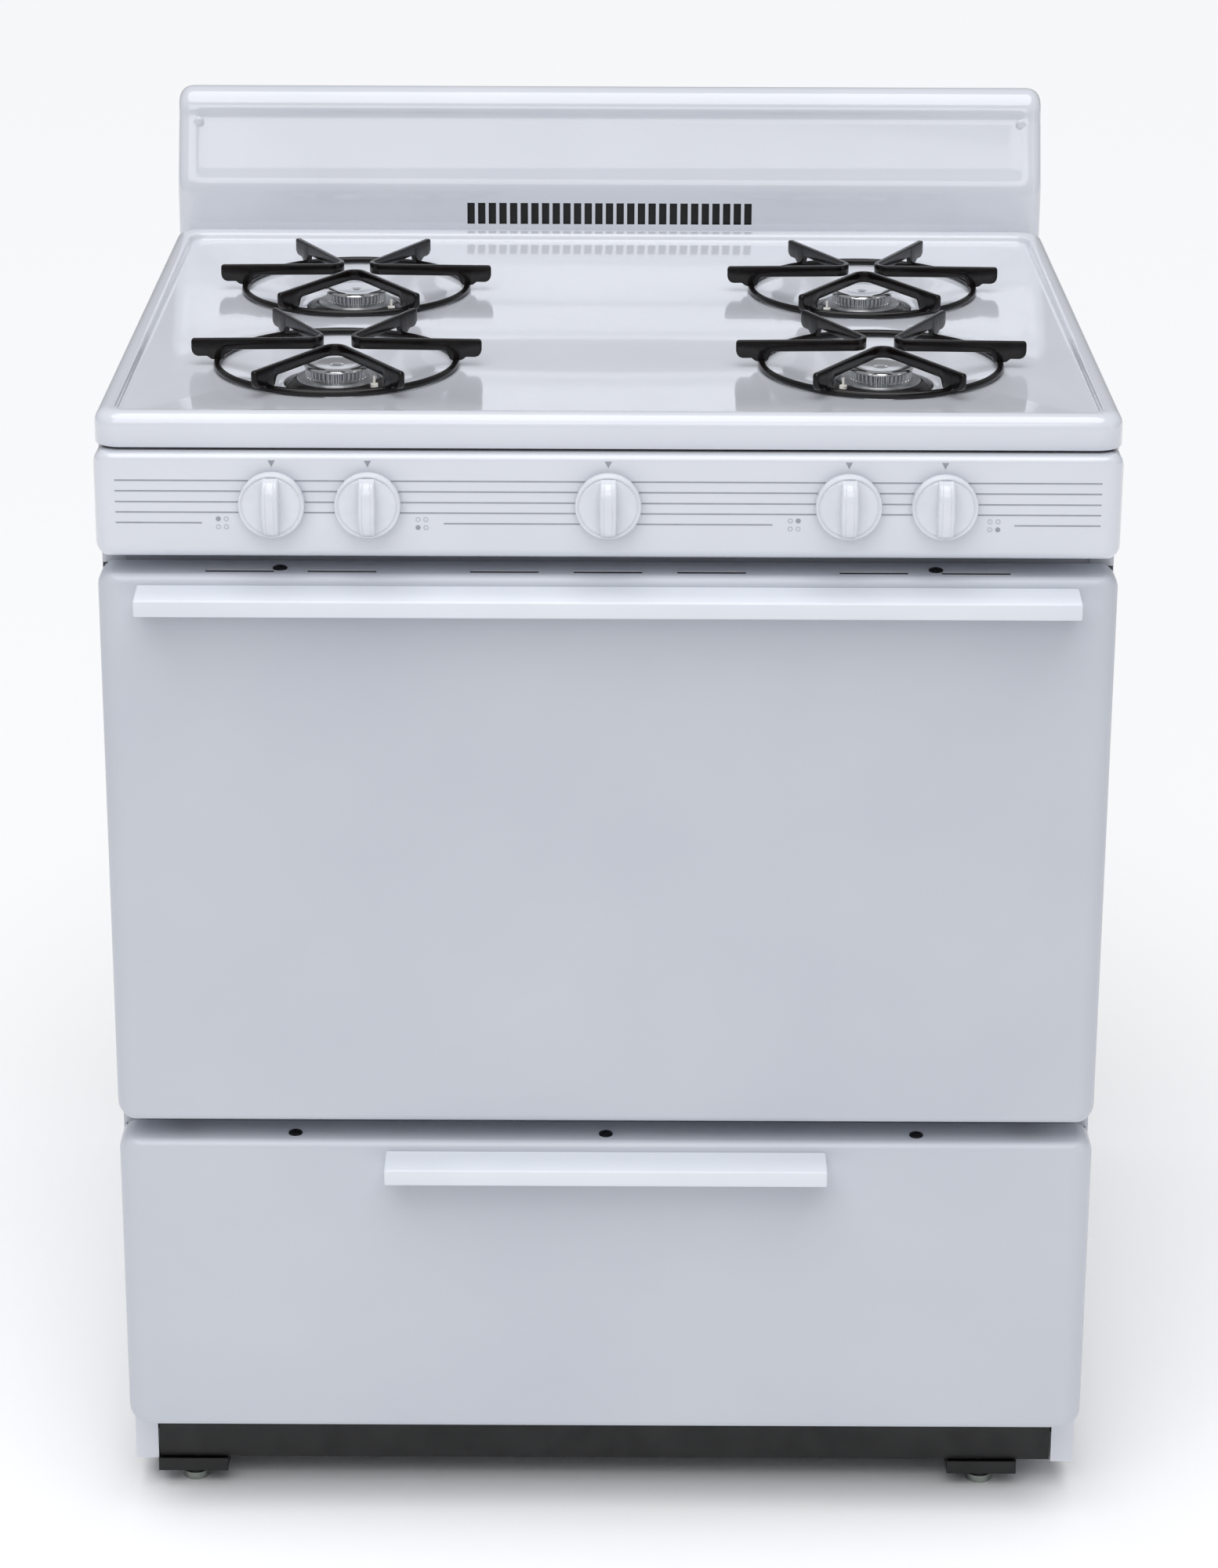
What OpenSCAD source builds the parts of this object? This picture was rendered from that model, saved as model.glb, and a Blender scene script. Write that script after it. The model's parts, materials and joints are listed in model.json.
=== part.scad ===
/* [Overall size] */
// Width of the cooktop, doors and body
range_w = 759; // [640:1:920]
// Depth from the door's face to the back panel, without the handles
body_d = 663; // [600:1:800]
// Height of the cooktop's rim above the floor
cooktop_h = 915; // [800:1:1100]
// Height of the backguard above the cooktop's rim
backguard_h = 117; // [90:1:200]
// Depth of the backguard at its base
backguard_d = 51; // [44:1:70]
// Thickness of the enamelled sheet
sheet = 1.2; // [0.8:0.1:1.6]

/* [Cooktop] */
// Height of the cooktop's front and side lips
lip_h = 26; // [22:1:34]
// Width of the raised rim
rim_w = 15; // [12:1:20]
// Width of the raised rim along the backguard
rear_rim_w = 25; // [18:1:30]
// Depth of the recess inside the rim
recess = 6; // [4:0.5:9]
// Distance from the cooktop's side edge to a burner's axis
burner_inset = 169.5; // [150:0.5:175]
// Distance from the cooktop's front edge to the front burners' axis
front_burner_inset = 160; // [140:1:190]
// Distance from the cooktop's back edge to the rear burners' axis
rear_burner_inset = 201; // [140:1:210]
// Radius of the hole round a burner
burner_hole_r = 42; // [38:0.5:46]
// Outer radius of the dished well
well_r = 90; // [80:1:96]
// Depth of the well below the recess
well_dip = 13; // [8:1:16]
// How far the cooktop tilts open, in degrees
cooktop_lift = 30; // [15:1:35]

/* [Burners and grates] */
// Radius of a burner's base ring
burner_r = 31; // [26:0.5:34]
// Radius of a burner's cap
cap_r = 25.5; // [20:0.5:28]
// Radius of a grate's ring
grate_ring_r = 92; // [84:1:98]
// Wire radius of a grate's ring
grate_wire_r = 2.75; // [2:0.25:4]
// Distance from a grate's middle to the tips of its fingers
grate_tip_r = 112; // [104:1:118]
// Height of a grate's fingers above the recess
grate_h = 21; // [18:1:30]
// Thickness of a grate's finger strips
finger_t = 4; // [3:0.5:6]

/* [Control panel and knobs] */
// Height of the control panel
panel_h = 79.5; // [74:0.5:100]
// Gap between the cooktop's lip and the control panel
panel_gap = 2; // [1.5:0.5:4]
// Distance from the panel's end to the outer knobs
knob_inset = 132.5; // [90:0.5:150]
// Distance between the two knobs of a pair
knob_pitch = 70.5; // [60:0.5:80]
// Radius of a knob's skirt
knob_r = 24.5; // [20:0.5:28]
// How far a knob stands out of the panel
knob_out = 25; // [22:0.5:32]
// How far a knob pushes in
knob_push = 2.5; // [1:0.5:4]
// Radius of a valve stem
stem_r = 4; // [3:0.25:5]

/* [Oven door] */
// Height of the oven door
door_h = 445; // [400:1:480]
// Thickness of the door and of the drawer's front
door_t = 38; // [32:1:45]
// Gap between the control panel and the door
door_gap = 14; // [10:0.5:20]
// Gap between the door and the drawer
drawer_gap = 17.5; // [16:0.5:24]
// Length of the door's handle
door_handle_l = 698; // [400:1:700]
// Distance that the handles stand out
handle_out = 27; // [22:1:40]
// Radius of a panel's upright edges
edge_r = 18; // [8:1:20]

/* [Oven] */
// Inside width of the oven
oven_w = 600; // [480:1:610]
// Inside height of the oven
oven_h = 380; // [320:1:384]
// Inside depth of the oven
oven_d = 512; // [430:1:520]
// Thickness of the oven's insulation
insulation_t = 35; // [20:1:36]
// Radius of a rack's frame wire
rack_wire_r = 3; // [2:0.5:4]

/* [Broiler drawer] */
// Length of the drawer's handle
drawer_handle_l = 342; // [200:1:600]
// Height of the drawer's sides
drawer_side_h = 110; // [90:1:120]
// Distance from the range's side to the drawer's side
drawer_inset = 60; // [56:1:90]
// Length of the drawer behind its front
drawer_l = 520; // [430:1:540]
// Height of the drawer's lower edge above the floor
kick_h = 80.5; // [70:0.5:110]
// Height of the side panels' lower edge above the floor
foot_h = 25; // [18:1:40]

/* [Hidden] */
$fn = 48;

e = 0.01;                                   // overrun of a cut
half_w = range_w / 2;
front_y = (handle_out - body_d) / 2;        // the door's face
function at(d) = front_y + d;               // Y of a point d behind the door's face

// levels, from the cooktop down
lip_z = cooktop_h - lip_h;
panel_top = lip_z - panel_gap;
panel_z = panel_top - panel_h;
door_top = panel_z - door_gap;
door_z = door_top - door_h;
drawer_top = door_z - drawer_gap;
top_z = cooktop_h + backguard_h;
floor_z = cooktop_h - recess;               // cooktop's recess
hole_z = floor_z - well_dip;                // edge of a burner hole

// depths behind the door's face
cooktop_front = 11;
guard_gap = 1;                              // between the cooktop and the backguard
cooktop_back = body_d - backguard_d - guard_gap;
seal_gap = 7;                               // room for the gasket behind the door
body_front = door_t + seal_gap;             // front edges of the side panels
frame_face = body_front + sheet;
frame_t = 2;
frame_back = frame_face + frame_t;
back_in = body_d - sheet;                   // inside of the back panel
flange = 18;
frame_low = kick_h - 6;                     // lower edge of the front frame

// burner places, left front, left rear, right rear, right front
burner_x = half_w - burner_inset;
front_d = cooktop_front + front_burner_inset;
rear_d = cooktop_back - rear_burner_inset;
burners = [[-burner_x, front_d], [-burner_x, rear_d], [burner_x, rear_d], [burner_x, front_d]];

// knob places, left to right
knob_out_x = half_w - knob_inset;
knob_in_x = knob_out_x - knob_pitch;
knob_xs = [-knob_out_x, -knob_in_x, 0, knob_in_x, knob_out_x];
knob_z = panel_z + 43.5;
knob_gap = knob_push + 0.5;
stem_front = -14;                           // front end of a stem
valve_front = frame_back + 3.8;             // front face of a valve's body
valve_half_w = 11;
stem_back = valve_front + 17;
flat_at = 2.5;                              // height of a stem's flat above its axis
run_gap = 0.08;                             // running clearance of a stem or pin

// flue slots in the backguard
slots_n = 27;
slot_pitch = 9.36;
slot_w = 6.5;

// door hinge
hinge_d = door_t - 14;
hinge_z = door_z + 14;
hinge_x = half_w - 49.5;
hinge_pin_r = 4;
hinge_arm_r = 6;
bracket_half_t = 3;
cheek_gap = 1;
cheek_t = 3;
notch_w = 19;

// cooktop hinge, inside the rear rim
lift_d = cooktop_back - 8;
lift_z = cooktop_h - 8;
lift_pin_r = 2.5;
lift_x = half_w - 14;

// oven
oven_z = door_z + 36.5;
oven_top = oven_z + oven_h;
oven_back = frame_back + oven_d;
rack_zs = [oven_z + 110, oven_z + 240];
ledge_w = 12;
flue_x = 100;                               // half width of the flue's opening

// broiler drawer
drawer_x = half_w - drawer_inset;
drawer_bottom = kick_h + 14;
drawer_back = door_t + drawer_l;
runner_z = drawer_bottom + 55;
runner_h = 10;
runner_t = 8;

// gas line
pipe_r = 10;
pipe_d = valve_front + 23;
pipe_z = knob_z - 23;
supply_x = half_w - 50;
inlet_r = 9.3;
inlet_l = 16;
regulator_d = back_in - 22;                 // back face of the regulator's body
regulator_front = oven_back + sheet + insulation_t + 3.4;

// legs, left and right, as distances from the range's sides
leg_x = [-(half_w - 46), half_w - 74];
leg_d = [64, body_d - 50];

// ---------- shared shapes ----------

// box from one corner to the other
module block(a, b) {
    translate(a) cube([b[0] - a[0], b[1] - a[1], b[2] - a[2]]);
}

// rod along X, Y or Z through a point
module rod_x(p, r, l) translate(p) rotate([0, 90, 0]) cylinder(r = r, h = l);
module rod_y(p, r, l) translate(p) rotate([-90, 0, 0]) cylinder(r = r, h = l);

// rectangle with one radius at its low corners and one at its high corners
module round_rect(x0, x1, y0, y1, r_low, r_high) {
    translate([x0, y0 + r_low]) square([x1 - x0, y1 - y0 - r_low - r_high]);
    translate([x0 + r_low, y0]) square([x1 - x0 - 2 * r_low, r_low + e]);
    translate([x0 + r_high, y1 - r_high - e]) square([x1 - x0 - 2 * r_high, r_high + e]);
    for (x = [x0 + r_low, x1 - r_low]) translate([x, y0 + r_low]) circle(r = r_low);
    for (x = [x0 + r_high, x1 - r_high]) translate([x, y1 - r_high]) circle(r = r_high);
}

// door-like body: rounded upright edges in plan, rounded top and bottom edges
module panel_body(z0, z1, depth, inset, r_low, r_top) {
    r_plan = edge_r - inset;
    intersection() {
        translate([0, 0, z0 + inset]) linear_extrude(z1 - z0 - 2 * inset)
            round_rect(-half_w + inset, half_w - inset, at(inset), at(depth + 2 * edge_r), r_plan, 1);
        translate([-half_w, 0, 0]) rotate([90, 0, 90]) linear_extrude(range_w)
            side_outline(z0 + inset, z1 - inset, at(inset), at(depth), r_low - inset, r_top - inset);
    }
}

// outline in depth and height with its two front corners rounded
module side_outline(z0, z1, y0, y1, r_low, r_top) {
    translate([y0, z0 + r_low]) square([y1 - y0, z1 - z0 - r_low - r_top]);
    translate([y0 + r_low, z0]) square([y1 - y0 - r_low, r_low + e]);
    translate([y0 + r_top, z1 - r_top - e]) square([y1 - y0 - r_top, r_top + e]);
    translate([y0 + r_low, z0 + r_low]) circle(r = r_low);
    translate([y0 + r_top, z1 - r_top]) circle(r = r_top);
}

// hollow pressed front, open at the back
module pressed_front(z0, z1, depth, r_low, r_top) {
    difference() {
        panel_body(z0, z1, depth, 0, r_low, r_top);
        panel_body(z0, z1, depth + e, sheet, r_low, r_top);
    }
}

// lip-shaped handle hung on a panel: a sloping top, an upright nose and two end caps
handle_t = 4;
handle_top = 6.6;                           // handle's top below the panel's top
handle_nose = 17;                           // lower edge of the nose below the handle's top
module lip_handle(length, top) {
    z = top - handle_top;
    slope = 4;
    translate([-length / 2, 0, 0]) rotate([90, 0, 90]) linear_extrude(length)
        polygon([[at(0), z], [at(-handle_out), z - slope], [at(-handle_out), z - handle_nose],
            [at(handle_t - handle_out), z - handle_nose],
            [at(handle_t - handle_out), z - slope - handle_t], [at(0), z - handle_t]]);
    for (x = [-length / 2, length / 2 - handle_t])
        translate([x, 0, 0]) rotate([90, 0, 90]) linear_extrude(handle_t)
            polygon([[at(0), z], [at(-handle_out), z - slope], [at(-handle_out), z - handle_nose],
                [at(0), z - handle_nose + 3]]);
}

// pan-head screws standing on a flange
screw_r = 5.5;
module flange_screws(xs, top, d) {
    for (x = xs) translate([x, at(d), top]) cylinder(r = screw_r, h = 2);
}

// ---------- body ----------

module side_panel() {
    x = half_w - sheet;
    z1 = panel_top;
    block([x, at(body_front), foot_h], [half_w, at(back_in), z1]);
    block([half_w - flange, at(body_front), foot_h], [half_w, at(frame_face), z1]);
    block([half_w - flange, at(body_front), z1 - sheet], [half_w, at(back_in), z1]);
    block([half_w - flange, at(body_front), foot_h], [half_w, at(back_in), foot_h + sheet]);
}

module left_side_panel() color("whitesmoke") mirror([1, 0, 0]) side_panel();
module right_side_panel() color("whitesmoke") side_panel();

module back_panel() color("silver") {
    r = 15;
    difference() {
        translate([0, at(body_d), 0]) rotate([90, 0, 0]) linear_extrude(sheet)
            round_rect(-half_w, half_w, foot_h, top_z - 12, 1, r);
        rod_y([supply_x, at(back_in - 1), pipe_z], inlet_r + 12, sheet + 2);
    }
}

module base_frame() color("dimgray") {
    x = half_w - sheet - 1;
    y0 = at(frame_back + 4);
    y1 = at(back_in - 1);
    z0 = foot_h + sheet;
    w = 22;
    t = 2;
    difference() {
        block([-x, y0, z0], [x, y1, z0 + w]);
        block([-x + t, y0 + t, z0 + t], [x - t, y1 - t, z0 + w + 1]);
        block([-x + w, y0 + w, z0 - 1], [x - w, y1 - w, z0 + w + 1]);
    }
}

module kick_rail() color("black")
    block([-half_w + flange + 1, at(frame_face), foot_h + sheet],
        [half_w - flange - 1, at(frame_face + 1.5), frame_low]);

bracket_h = 11;
leg_r = 4;
module leg_brackets() color("black") {
    w = 56;
    d = 44;
    t = 2;
    for (x = leg_x) for (y = leg_d) translate([x, at(y), foot_h + sheet - bracket_h]) difference() {
        block([-w / 2, -d / 2, 0], [w / 2, d / 2, bracket_h]);
        block([-w / 2 + t, -d / 2 + t, t], [w / 2 - t, d / 2 - t, bracket_h + 1]);
        translate([0, 0, -1]) cylinder(r = leg_r + 0.2, h = t + 2);
    }
}

module leveling_legs() color("gray")
    for (x = leg_x) for (y = leg_d) translate([x, at(y), 0]) {
        cylinder(r = 11, h = 6);
        cylinder(r = leg_r, h = foot_h + sheet - 1);
    }

// front frame behind the door and the drawer, with slots for the hinge brackets
module front_frame() color("lightgray") {
    x = half_w - sheet - 0.5;
    drawer_room = runner_t + 6;             // beside the drawer's box
    difference() {
        block([-x, at(frame_face), frame_low], [x, at(frame_back), panel_z - 2]);
        block([-oven_w / 2, at(body_front), oven_z], [oven_w / 2, at(frame_back + 1), oven_top]);
        block([-drawer_x - drawer_room, at(body_front), kick_h + 6],
            [drawer_x + drawer_room, at(frame_back + 1), drawer_top - 12]);
    }
}

// arms that carry the door's pivot pins, standing forward from the front frame
module hinge_brackets() color("gray")
    for (s = [-1, 1]) {
        x = s * hinge_x;
        t = bracket_half_t;
        block([x - t, at(hinge_d), hinge_z - hinge_arm_r], [x + t, at(frame_face), hinge_z + hinge_arm_r]);
        rod_x([x - t, at(hinge_d), hinge_z], hinge_arm_r, 2 * t);
        rod_x([x - notch_w / 2 + 1, at(hinge_d), hinge_z], hinge_pin_r, notch_w - 2);
    }

// ---------- oven ----------

module oven_liner() color("slategray") {
    x = oven_w / 2;
    slot_x = 150;
    difference() {
        block([-x - sheet, at(frame_back), oven_z - sheet],
            [x + sheet, at(oven_back + sheet), oven_top + sheet]);
        block([-x, at(frame_back - 1), oven_z], [x, at(oven_back), oven_top]);
        block([-slot_x, at(frame_back + 80), oven_z - 3], [slot_x, at(oven_back - 80), oven_z + 1]);
        block([-flue_x, at(oven_back - 1), oven_top - 30], [flue_x, at(oven_back + 3), oven_top - 12]);
    }
}

module oven_floor() color("darkslategray") {
    slots = 6;
    pitch = (oven_d - 120) / slots;
    difference() {
        block([-oven_w / 2 + 1, at(frame_back + 1), oven_z],
            [oven_w / 2 - 1, at(oven_back - 1), oven_z + 1.5]);
        for (s = [-1, 1]) for (i = [0 : slots - 1])
            translate([s * (oven_w / 2 - 30) - 6, at(frame_back + 70 + i * pitch), oven_z - 1])
                cube([12, 40, 4]);
    }
}

burner_tube_r = 14;
module oven_burner() color("gray") {
    z = oven_z - 34;
    y0 = frame_back + 70;
    l = oven_d - 140;
    hanger_x = 170;
    hanger_t = 4;
    rod_y([0, at(y0), z], burner_tube_r, l);
    for (y = [y0 + 20, y0 + l - 20]) for (s = [0, 1]) mirror([s, 0, 0]) {
        block([burner_tube_r - 2, at(y), z - hanger_t / 2], [hanger_x, at(y + 3), z + hanger_t / 2]);
        block([hanger_x - hanger_t, at(y), z - hanger_t / 2], [hanger_x, at(y + 3), oven_z - sheet]);
    }
}

module flame_spreader() color("gray") {
    z = oven_z - 14;
    x = 140;
    t = 2;
    h = 8;
    inset = 85;
    difference() {
        block([-x, at(frame_back + inset), z], [x, at(oven_back - inset), z + h]);
        block([-x + t, at(frame_back + inset + t), z - 1], [x - t, at(oven_back - inset - t), z + h - 1.5]);
    }
}

module oven_insulation() color("khaki") {
    x = oven_w / 2 + sheet;
    t = insulation_t;
    difference() {
        block([-x - t, at(frame_back), oven_z - sheet],
            [x + t, at(oven_back + sheet + t), oven_top + sheet + t]);
        block([-x, at(frame_back - 1), oven_z - sheet - 1], [x, at(oven_back + sheet), oven_top + sheet]);
        block([-flue_x - 4, at(oven_back), oven_top - 36],
            [flue_x + 4, at(oven_back + sheet + t + 1), oven_top - 6]);
    }
}

module rack_guides() color("silver")
    for (s = [-1, 1]) for (z = [oven_z + 40, rack_zs[0], rack_zs[1]]) {
        x0 = s * oven_w / 2;
        x1 = s * (oven_w / 2 - ledge_w);
        block([min(x0, x1), at(frame_back + 25), z - rack_wire_r - 2],
            [max(x0, x1), at(oven_back - 5), z - rack_wire_r]);
    }

module oven_rack(z) {
    r = rack_wire_r;
    x = oven_w / 2 - 2 - r;
    y0 = at(frame_back + 14);
    y1 = at(oven_back - 14);
    n = 14;
    for (s = [-1, 1]) rod_y([s * x, y0, z], r, y1 - y0);
    for (y = [y0, (y0 + y1) / 2, y1]) rod_x([-x, y, z], r, 2 * x);
    for (s = [-1, 1]) for (y = [y0, y1]) translate([s * x, y, z]) sphere(r = r);
    for (i = [1 : n - 1]) rod_y([-x + i * 2 * x / n, y0, z + 1], 1.6, y1 - y0);
}
module upper_rack() color("silver") oven_rack(rack_zs[1]);
module lower_rack() color("silver") oven_rack(rack_zs[0]);

module oven_flue() color("silver") {
    t = 1;
    y0 = cooktop_back + 5;
    y1 = back_in - 6;
    duct_x = flue_x - 2;                    // level duct out of the oven
    duct_z = [oven_top - 32, oven_top - 10];
    stack_x = (slots_n - 1) * slot_pitch / 2 + slot_w / 2 + 1;
    stack_z = [oven_top - 50, cooktop_h + 30];
    difference() {
        union() {
            block([-duct_x, at(oven_back + sheet), duct_z[0]], [duct_x, at(y0 + t), duct_z[1]]);
            block([-stack_x, at(y0), stack_z[0]], [stack_x, at(y1), stack_z[1]]);
        }
        block([-duct_x + t, at(oven_back), duct_z[0] + t], [duct_x - t, at(y0 + 2 * t), duct_z[1] - t]);
        block([-stack_x + t, at(y0 + t), stack_z[0] + t], [stack_x - t, at(y1 - t), stack_z[1] + 1]);
    }
}

module drawer_rails() color("silver") {
    t = 1.5;
    gap = 1;
    x_in = drawer_x + runner_t + gap;
    z0 = runner_z - gap;
    z1 = runner_z + runner_h + gap;
    for (s = [0, 1]) mirror([s, 0, 0]) {
        block([x_in, at(frame_back + 2), z0 - t], [x_in + t, at(drawer_back), z1 + t]);
        block([drawer_x + 3, at(frame_back + 2), z0 - t], [x_in, at(drawer_back), z0]);
        block([drawer_x + 3, at(frame_back + 2), z1], [x_in, at(drawer_back), z1 + t]);
        for (y = [frame_back + 40, drawer_back - 60])
            block([x_in + t, at(y), z0 - t], [half_w - sheet, at(y + 20), z1 + t]);
    }
}

// ---------- gas line and burners ----------

valve_d = 16;                               // half depth of a valve body
valve_top = 13;                             // height of a valve body above its stem
neck_r = stem_r + 5;
neck_l = 4;
nipple_r = 5;
module manifold_pipe() color("gray") {
    difference() {
        union() {
            rod_x([-knob_out_x - 30, at(pipe_d), pipe_z], pipe_r, knob_out_x + 30 + supply_x);
            rod_y([supply_x, at(pipe_d), pipe_z], pipe_r, regulator_front - pipe_d);
            translate([supply_x, at(pipe_d), pipe_z]) sphere(r = pipe_r);
        }
        for (x = knob_xs) translate([x, at(pipe_d), pipe_z]) cylinder(r = nipple_r, h = pipe_r + neck_l);
    }
}

module valve_body(x) {
    difference() {
        union() {
            block([x - valve_half_w, at(valve_front), pipe_z + pipe_r + 1],
                [x + valve_half_w, at(pipe_d + valve_d), knob_z + valve_top]);
            rod_y([x, at(valve_front - neck_l), knob_z], neck_r, 2 * neck_l);
            translate([x, at(pipe_d), pipe_z]) cylinder(r = nipple_r, h = pipe_r + neck_l);
        }
        rod_y([x, at(valve_front - neck_l - 1), knob_z], stem_r + run_gap,
            stem_back - valve_front + neck_l + 2);
    }
}

module burner_valves() color("goldenrod")
    for (i = [0, 1, 3, 4]) {
        valve_body(knob_xs[i]);
        rod_y([knob_xs[i], at(pipe_d + valve_d), tube_z], 6, spud_l);
    }

module oven_thermostat() color("goldenrod") {
    wing = 19;                              // capsule and switch housings on both sides
    valve_body(0);
    for (s = [0, 1]) mirror([s, 0, 0])
        block([valve_half_w, at(valve_front + 2), knob_z - 12],
            [valve_half_w + wing, at(valve_front + 34), knob_z + valve_top]);
}

tube_r = 9;
riser_r = 13;
tube_z = knob_z + 4;
spud_l = 12;
tube_front = pipe_d + valve_d + spud_l + 6; // behind an air gap after the valve's spud
module burner_tube(valve_x, b) {
    y0 = tube_front;
    dx = b[0] - valve_x;
    dy = b[1] - y0;
    translate([valve_x, at(y0), tube_z]) rotate([0, 0, -atan2(dx, dy)]) rotate([-90, 0, 0])
        cylinder(r = tube_r, h = norm([dx, dy]));
    translate([b[0], at(b[1]), tube_z - riser_r]) cylinder(r = riser_r, h = hole_z - 16 - tube_z + riser_r);
}
module burner_tubes() color("silver") {
    burner_tube(knob_xs[1], burners[0]);
    burner_tube(knob_xs[0], burners[1]);
    burner_tube(knob_xs[3], burners[2]);
    burner_tube(knob_xs[4], burners[3]);
}

head_z = hole_z - 16;                       // lower face of a burner head
cap_z = floor_z - 1;                        // lower face of a burner cap
module burner_heads() color("silver")
    for (b = burners) translate([b[0], at(b[1]), 0]) {
        translate([0, 0, head_z]) cylinder(r = 18, h = 12);
        translate([0, 0, hole_z - 6]) cylinder(r = burner_r, h = 11);
        translate([0, 0, hole_z + 5]) cylinder(r = cap_r - 1, h = cap_z - hole_z - 5);
    }

module burner_caps() color("gainsboro")
    for (b = burners) translate([b[0], at(b[1]), cap_z]) rotate_extrude()
        polygon([[0, 0], [cap_r, 0], [cap_r, 1.5], [cap_r - 2, 3], [0, 3]]);

// spark electrodes in the gap between a burner and its hole
module igniters() color("white")
    for (b = burners) translate([b[0], at(b[1]), 0]) rotate([0, 0, b[0] < 0 ? -35 : 215]) {
        x = (burner_r + burner_hole_r) / 2;
        translate([x, 0, head_z - 2]) cylinder(r = 3, h = hole_z - head_z + 6);
        translate([x, 0, hole_z + 4]) cylinder(r = 1, h = 6);
        block([riser_r + 0.3, -4, head_z - 4], [x + 4, 4, head_z - 2]);
    }

module gas_regulator() color("silver") {
    y1 = back_in + sheet - 1;
    half = 18;
    dome_h = 60;
    difference() {
        union() {
            block([supply_x - half - 2, at(regulator_front), pipe_z - half],
                [supply_x + half + 2, at(regulator_d), pipe_z + half]);
            rod_y([supply_x, at(regulator_d), pipe_z], inlet_r + 5, y1 - regulator_d);
            translate([supply_x, at((regulator_front + regulator_d) / 2), pipe_z - dome_h / 2])
                cylinder(r = half, h = dome_h);
        }
        rod_y([supply_x, at(y1 - inlet_l), pipe_z], inlet_r, inlet_l + 1);
    }
}

// ---------- control panel, backguard ----------

module control_panel() color("whitesmoke")
    difference() {
        pressed_front(panel_z, panel_top, body_front, 8, 4);
        for (x = knob_xs) rod_y([x, at(-1), knob_z], stem_r + 2, 4);
    }

band_h = 38;                                // upright band below the backguard's crease
lean = 22;
roll_r = 22;
module guard_outline(t) {
    y0 = cooktop_back + guard_gap + t;
    r = roll_r - t;
    yc = cooktop_back + guard_gap + lean + roll_r;
    zc = top_z - roll_r;
    roll = [for (a = [180 : -10 : 90]) [at(yc + r * cos(a)), zc + r * sin(a)]];
    polygon(concat([[at(y0), panel_top], [at(y0), cooktop_h + band_h]], roll,
        [[at(body_d), zc + r - 1], [at(body_d), panel_top]]));
}
module guard_solid(t) {
    r = 15 - t;
    intersection() {
        translate([-half_w + t, 0, 0]) rotate([90, 0, 90]) linear_extrude(range_w - 2 * t) guard_outline(t);
        translate([0, at(body_d + t), 0]) rotate([90, 0, 0]) linear_extrude(backguard_d + 1)
            round_rect(-half_w + t, half_w - t, panel_top - t, top_z - t, 1, r);
    }
}
module backguard() color("whitesmoke")
    difference() {
        guard_solid(0);
        guard_solid(sheet + 0.3);
        block([-range_w, at(back_in), 0], [range_w, at(body_d + 5), top_z + 5]);
        translate([-(slots_n - 1) * slot_pitch / 2 - slot_w / 2, at(cooktop_back), cooktop_h + 3])
            for (i = [0 : slots_n - 1]) translate([i * slot_pitch, 0, 0]) cube([slot_w, 6, 19]);
    }

// ---------- cooktop ----------

module cooktop_brackets() color("gray")
    for (s = [-1, 1]) {
        x = s * lift_x;
        difference() {
            union() {
                rod_x([x - 1, at(lift_d), lift_z], 4.5, 2);
                block([x - 1, at(lift_d - 4.5), panel_top], [x + 1, at(lift_d), lift_z]);
            }
            rod_x([x - 3, at(lift_d), lift_z], lift_pin_r + run_gap, 6);
        }
    }

// pins on ears under the rim
module cooktop_pins() color("silver")
    for (s = [0, 1]) mirror([s, 0, 0]) {
        rod_x([lift_x - 4, at(lift_d), lift_z], lift_pin_r, 8);
        rod_x([lift_x + 2, at(lift_d), lift_z], 4, 2);
        block([lift_x + 2, at(lift_d - 8), lift_z - 3], [lift_x + 4, at(lift_d - 2), cooktop_h - sheet]);
    }

// cooktop's outer form, drawn in by an inset
module cooktop_form(t) {
    r_top = 10;
    z0 = lip_z - (t > 0 ? 1 : 0);
    intersection() {
        translate([0, 0, z0]) linear_extrude(cooktop_h - t - z0)
            round_rect(-half_w + t, half_w - t, at(cooktop_front + t), at(cooktop_back - t), 20 - t, 4 - t);
        translate([-half_w, 0, 0]) rotate([90, 0, 90]) linear_extrude(range_w)
            round_rect(at(cooktop_front + t), at(cooktop_back - t), z0, cooktop_h - t, 0.5, r_top - t);
        translate([0, at(cooktop_back), 0]) rotate([90, 0, 0]) linear_extrude(cooktop_back - cooktop_front)
            round_rect(-half_w + t, half_w - t, z0, cooktop_h - t, 0.5, r_top - t);
    }
}
module recess_form(t, z0, z1) {
    x = half_w - rim_w + t;
    translate([0, 0, z0]) linear_extrude(z1 - z0)
        round_rect(-x, x, at(cooktop_front + rim_w - t), at(cooktop_back - rear_rim_w + t), 14 + t, 14 + t);
}
module cooktop() color("white")
    difference() {
        union() {
            difference() {
                cooktop_form(0);
                cooktop_form(sheet);
            }
            recess_form(sheet, floor_z - sheet, cooktop_h - sheet / 2);
            for (b = burners) translate([b[0], at(b[1]), 0]) rotate_extrude()
                polygon([[burner_hole_r, hole_z - sheet], [burner_hole_r, hole_z],
                    [well_r, floor_z], [well_r + 2, floor_z], [well_r + 2, floor_z - sheet],
                    [well_r, floor_z - sheet]]);
        }
        recess_form(0, floor_z, cooktop_h + 1);
        for (b = burners) translate([b[0], at(b[1]), 0]) rotate_extrude()
            polygon([[0, hole_z - 3], [burner_hole_r, hole_z - 3], [burner_hole_r, hole_z],
                [well_r, floor_z], [well_r, floor_z + 1], [0, floor_z + 1]]);
        // the rear lip is short, so that it clears the hinge brackets
        block([-half_w + 2 * sheet, at(cooktop_back - 2 * sheet), lip_z - 1],
            [half_w - 2 * sheet, at(cooktop_back + 1), lift_z - 5]);
    }

// ---------- grates ----------

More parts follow.
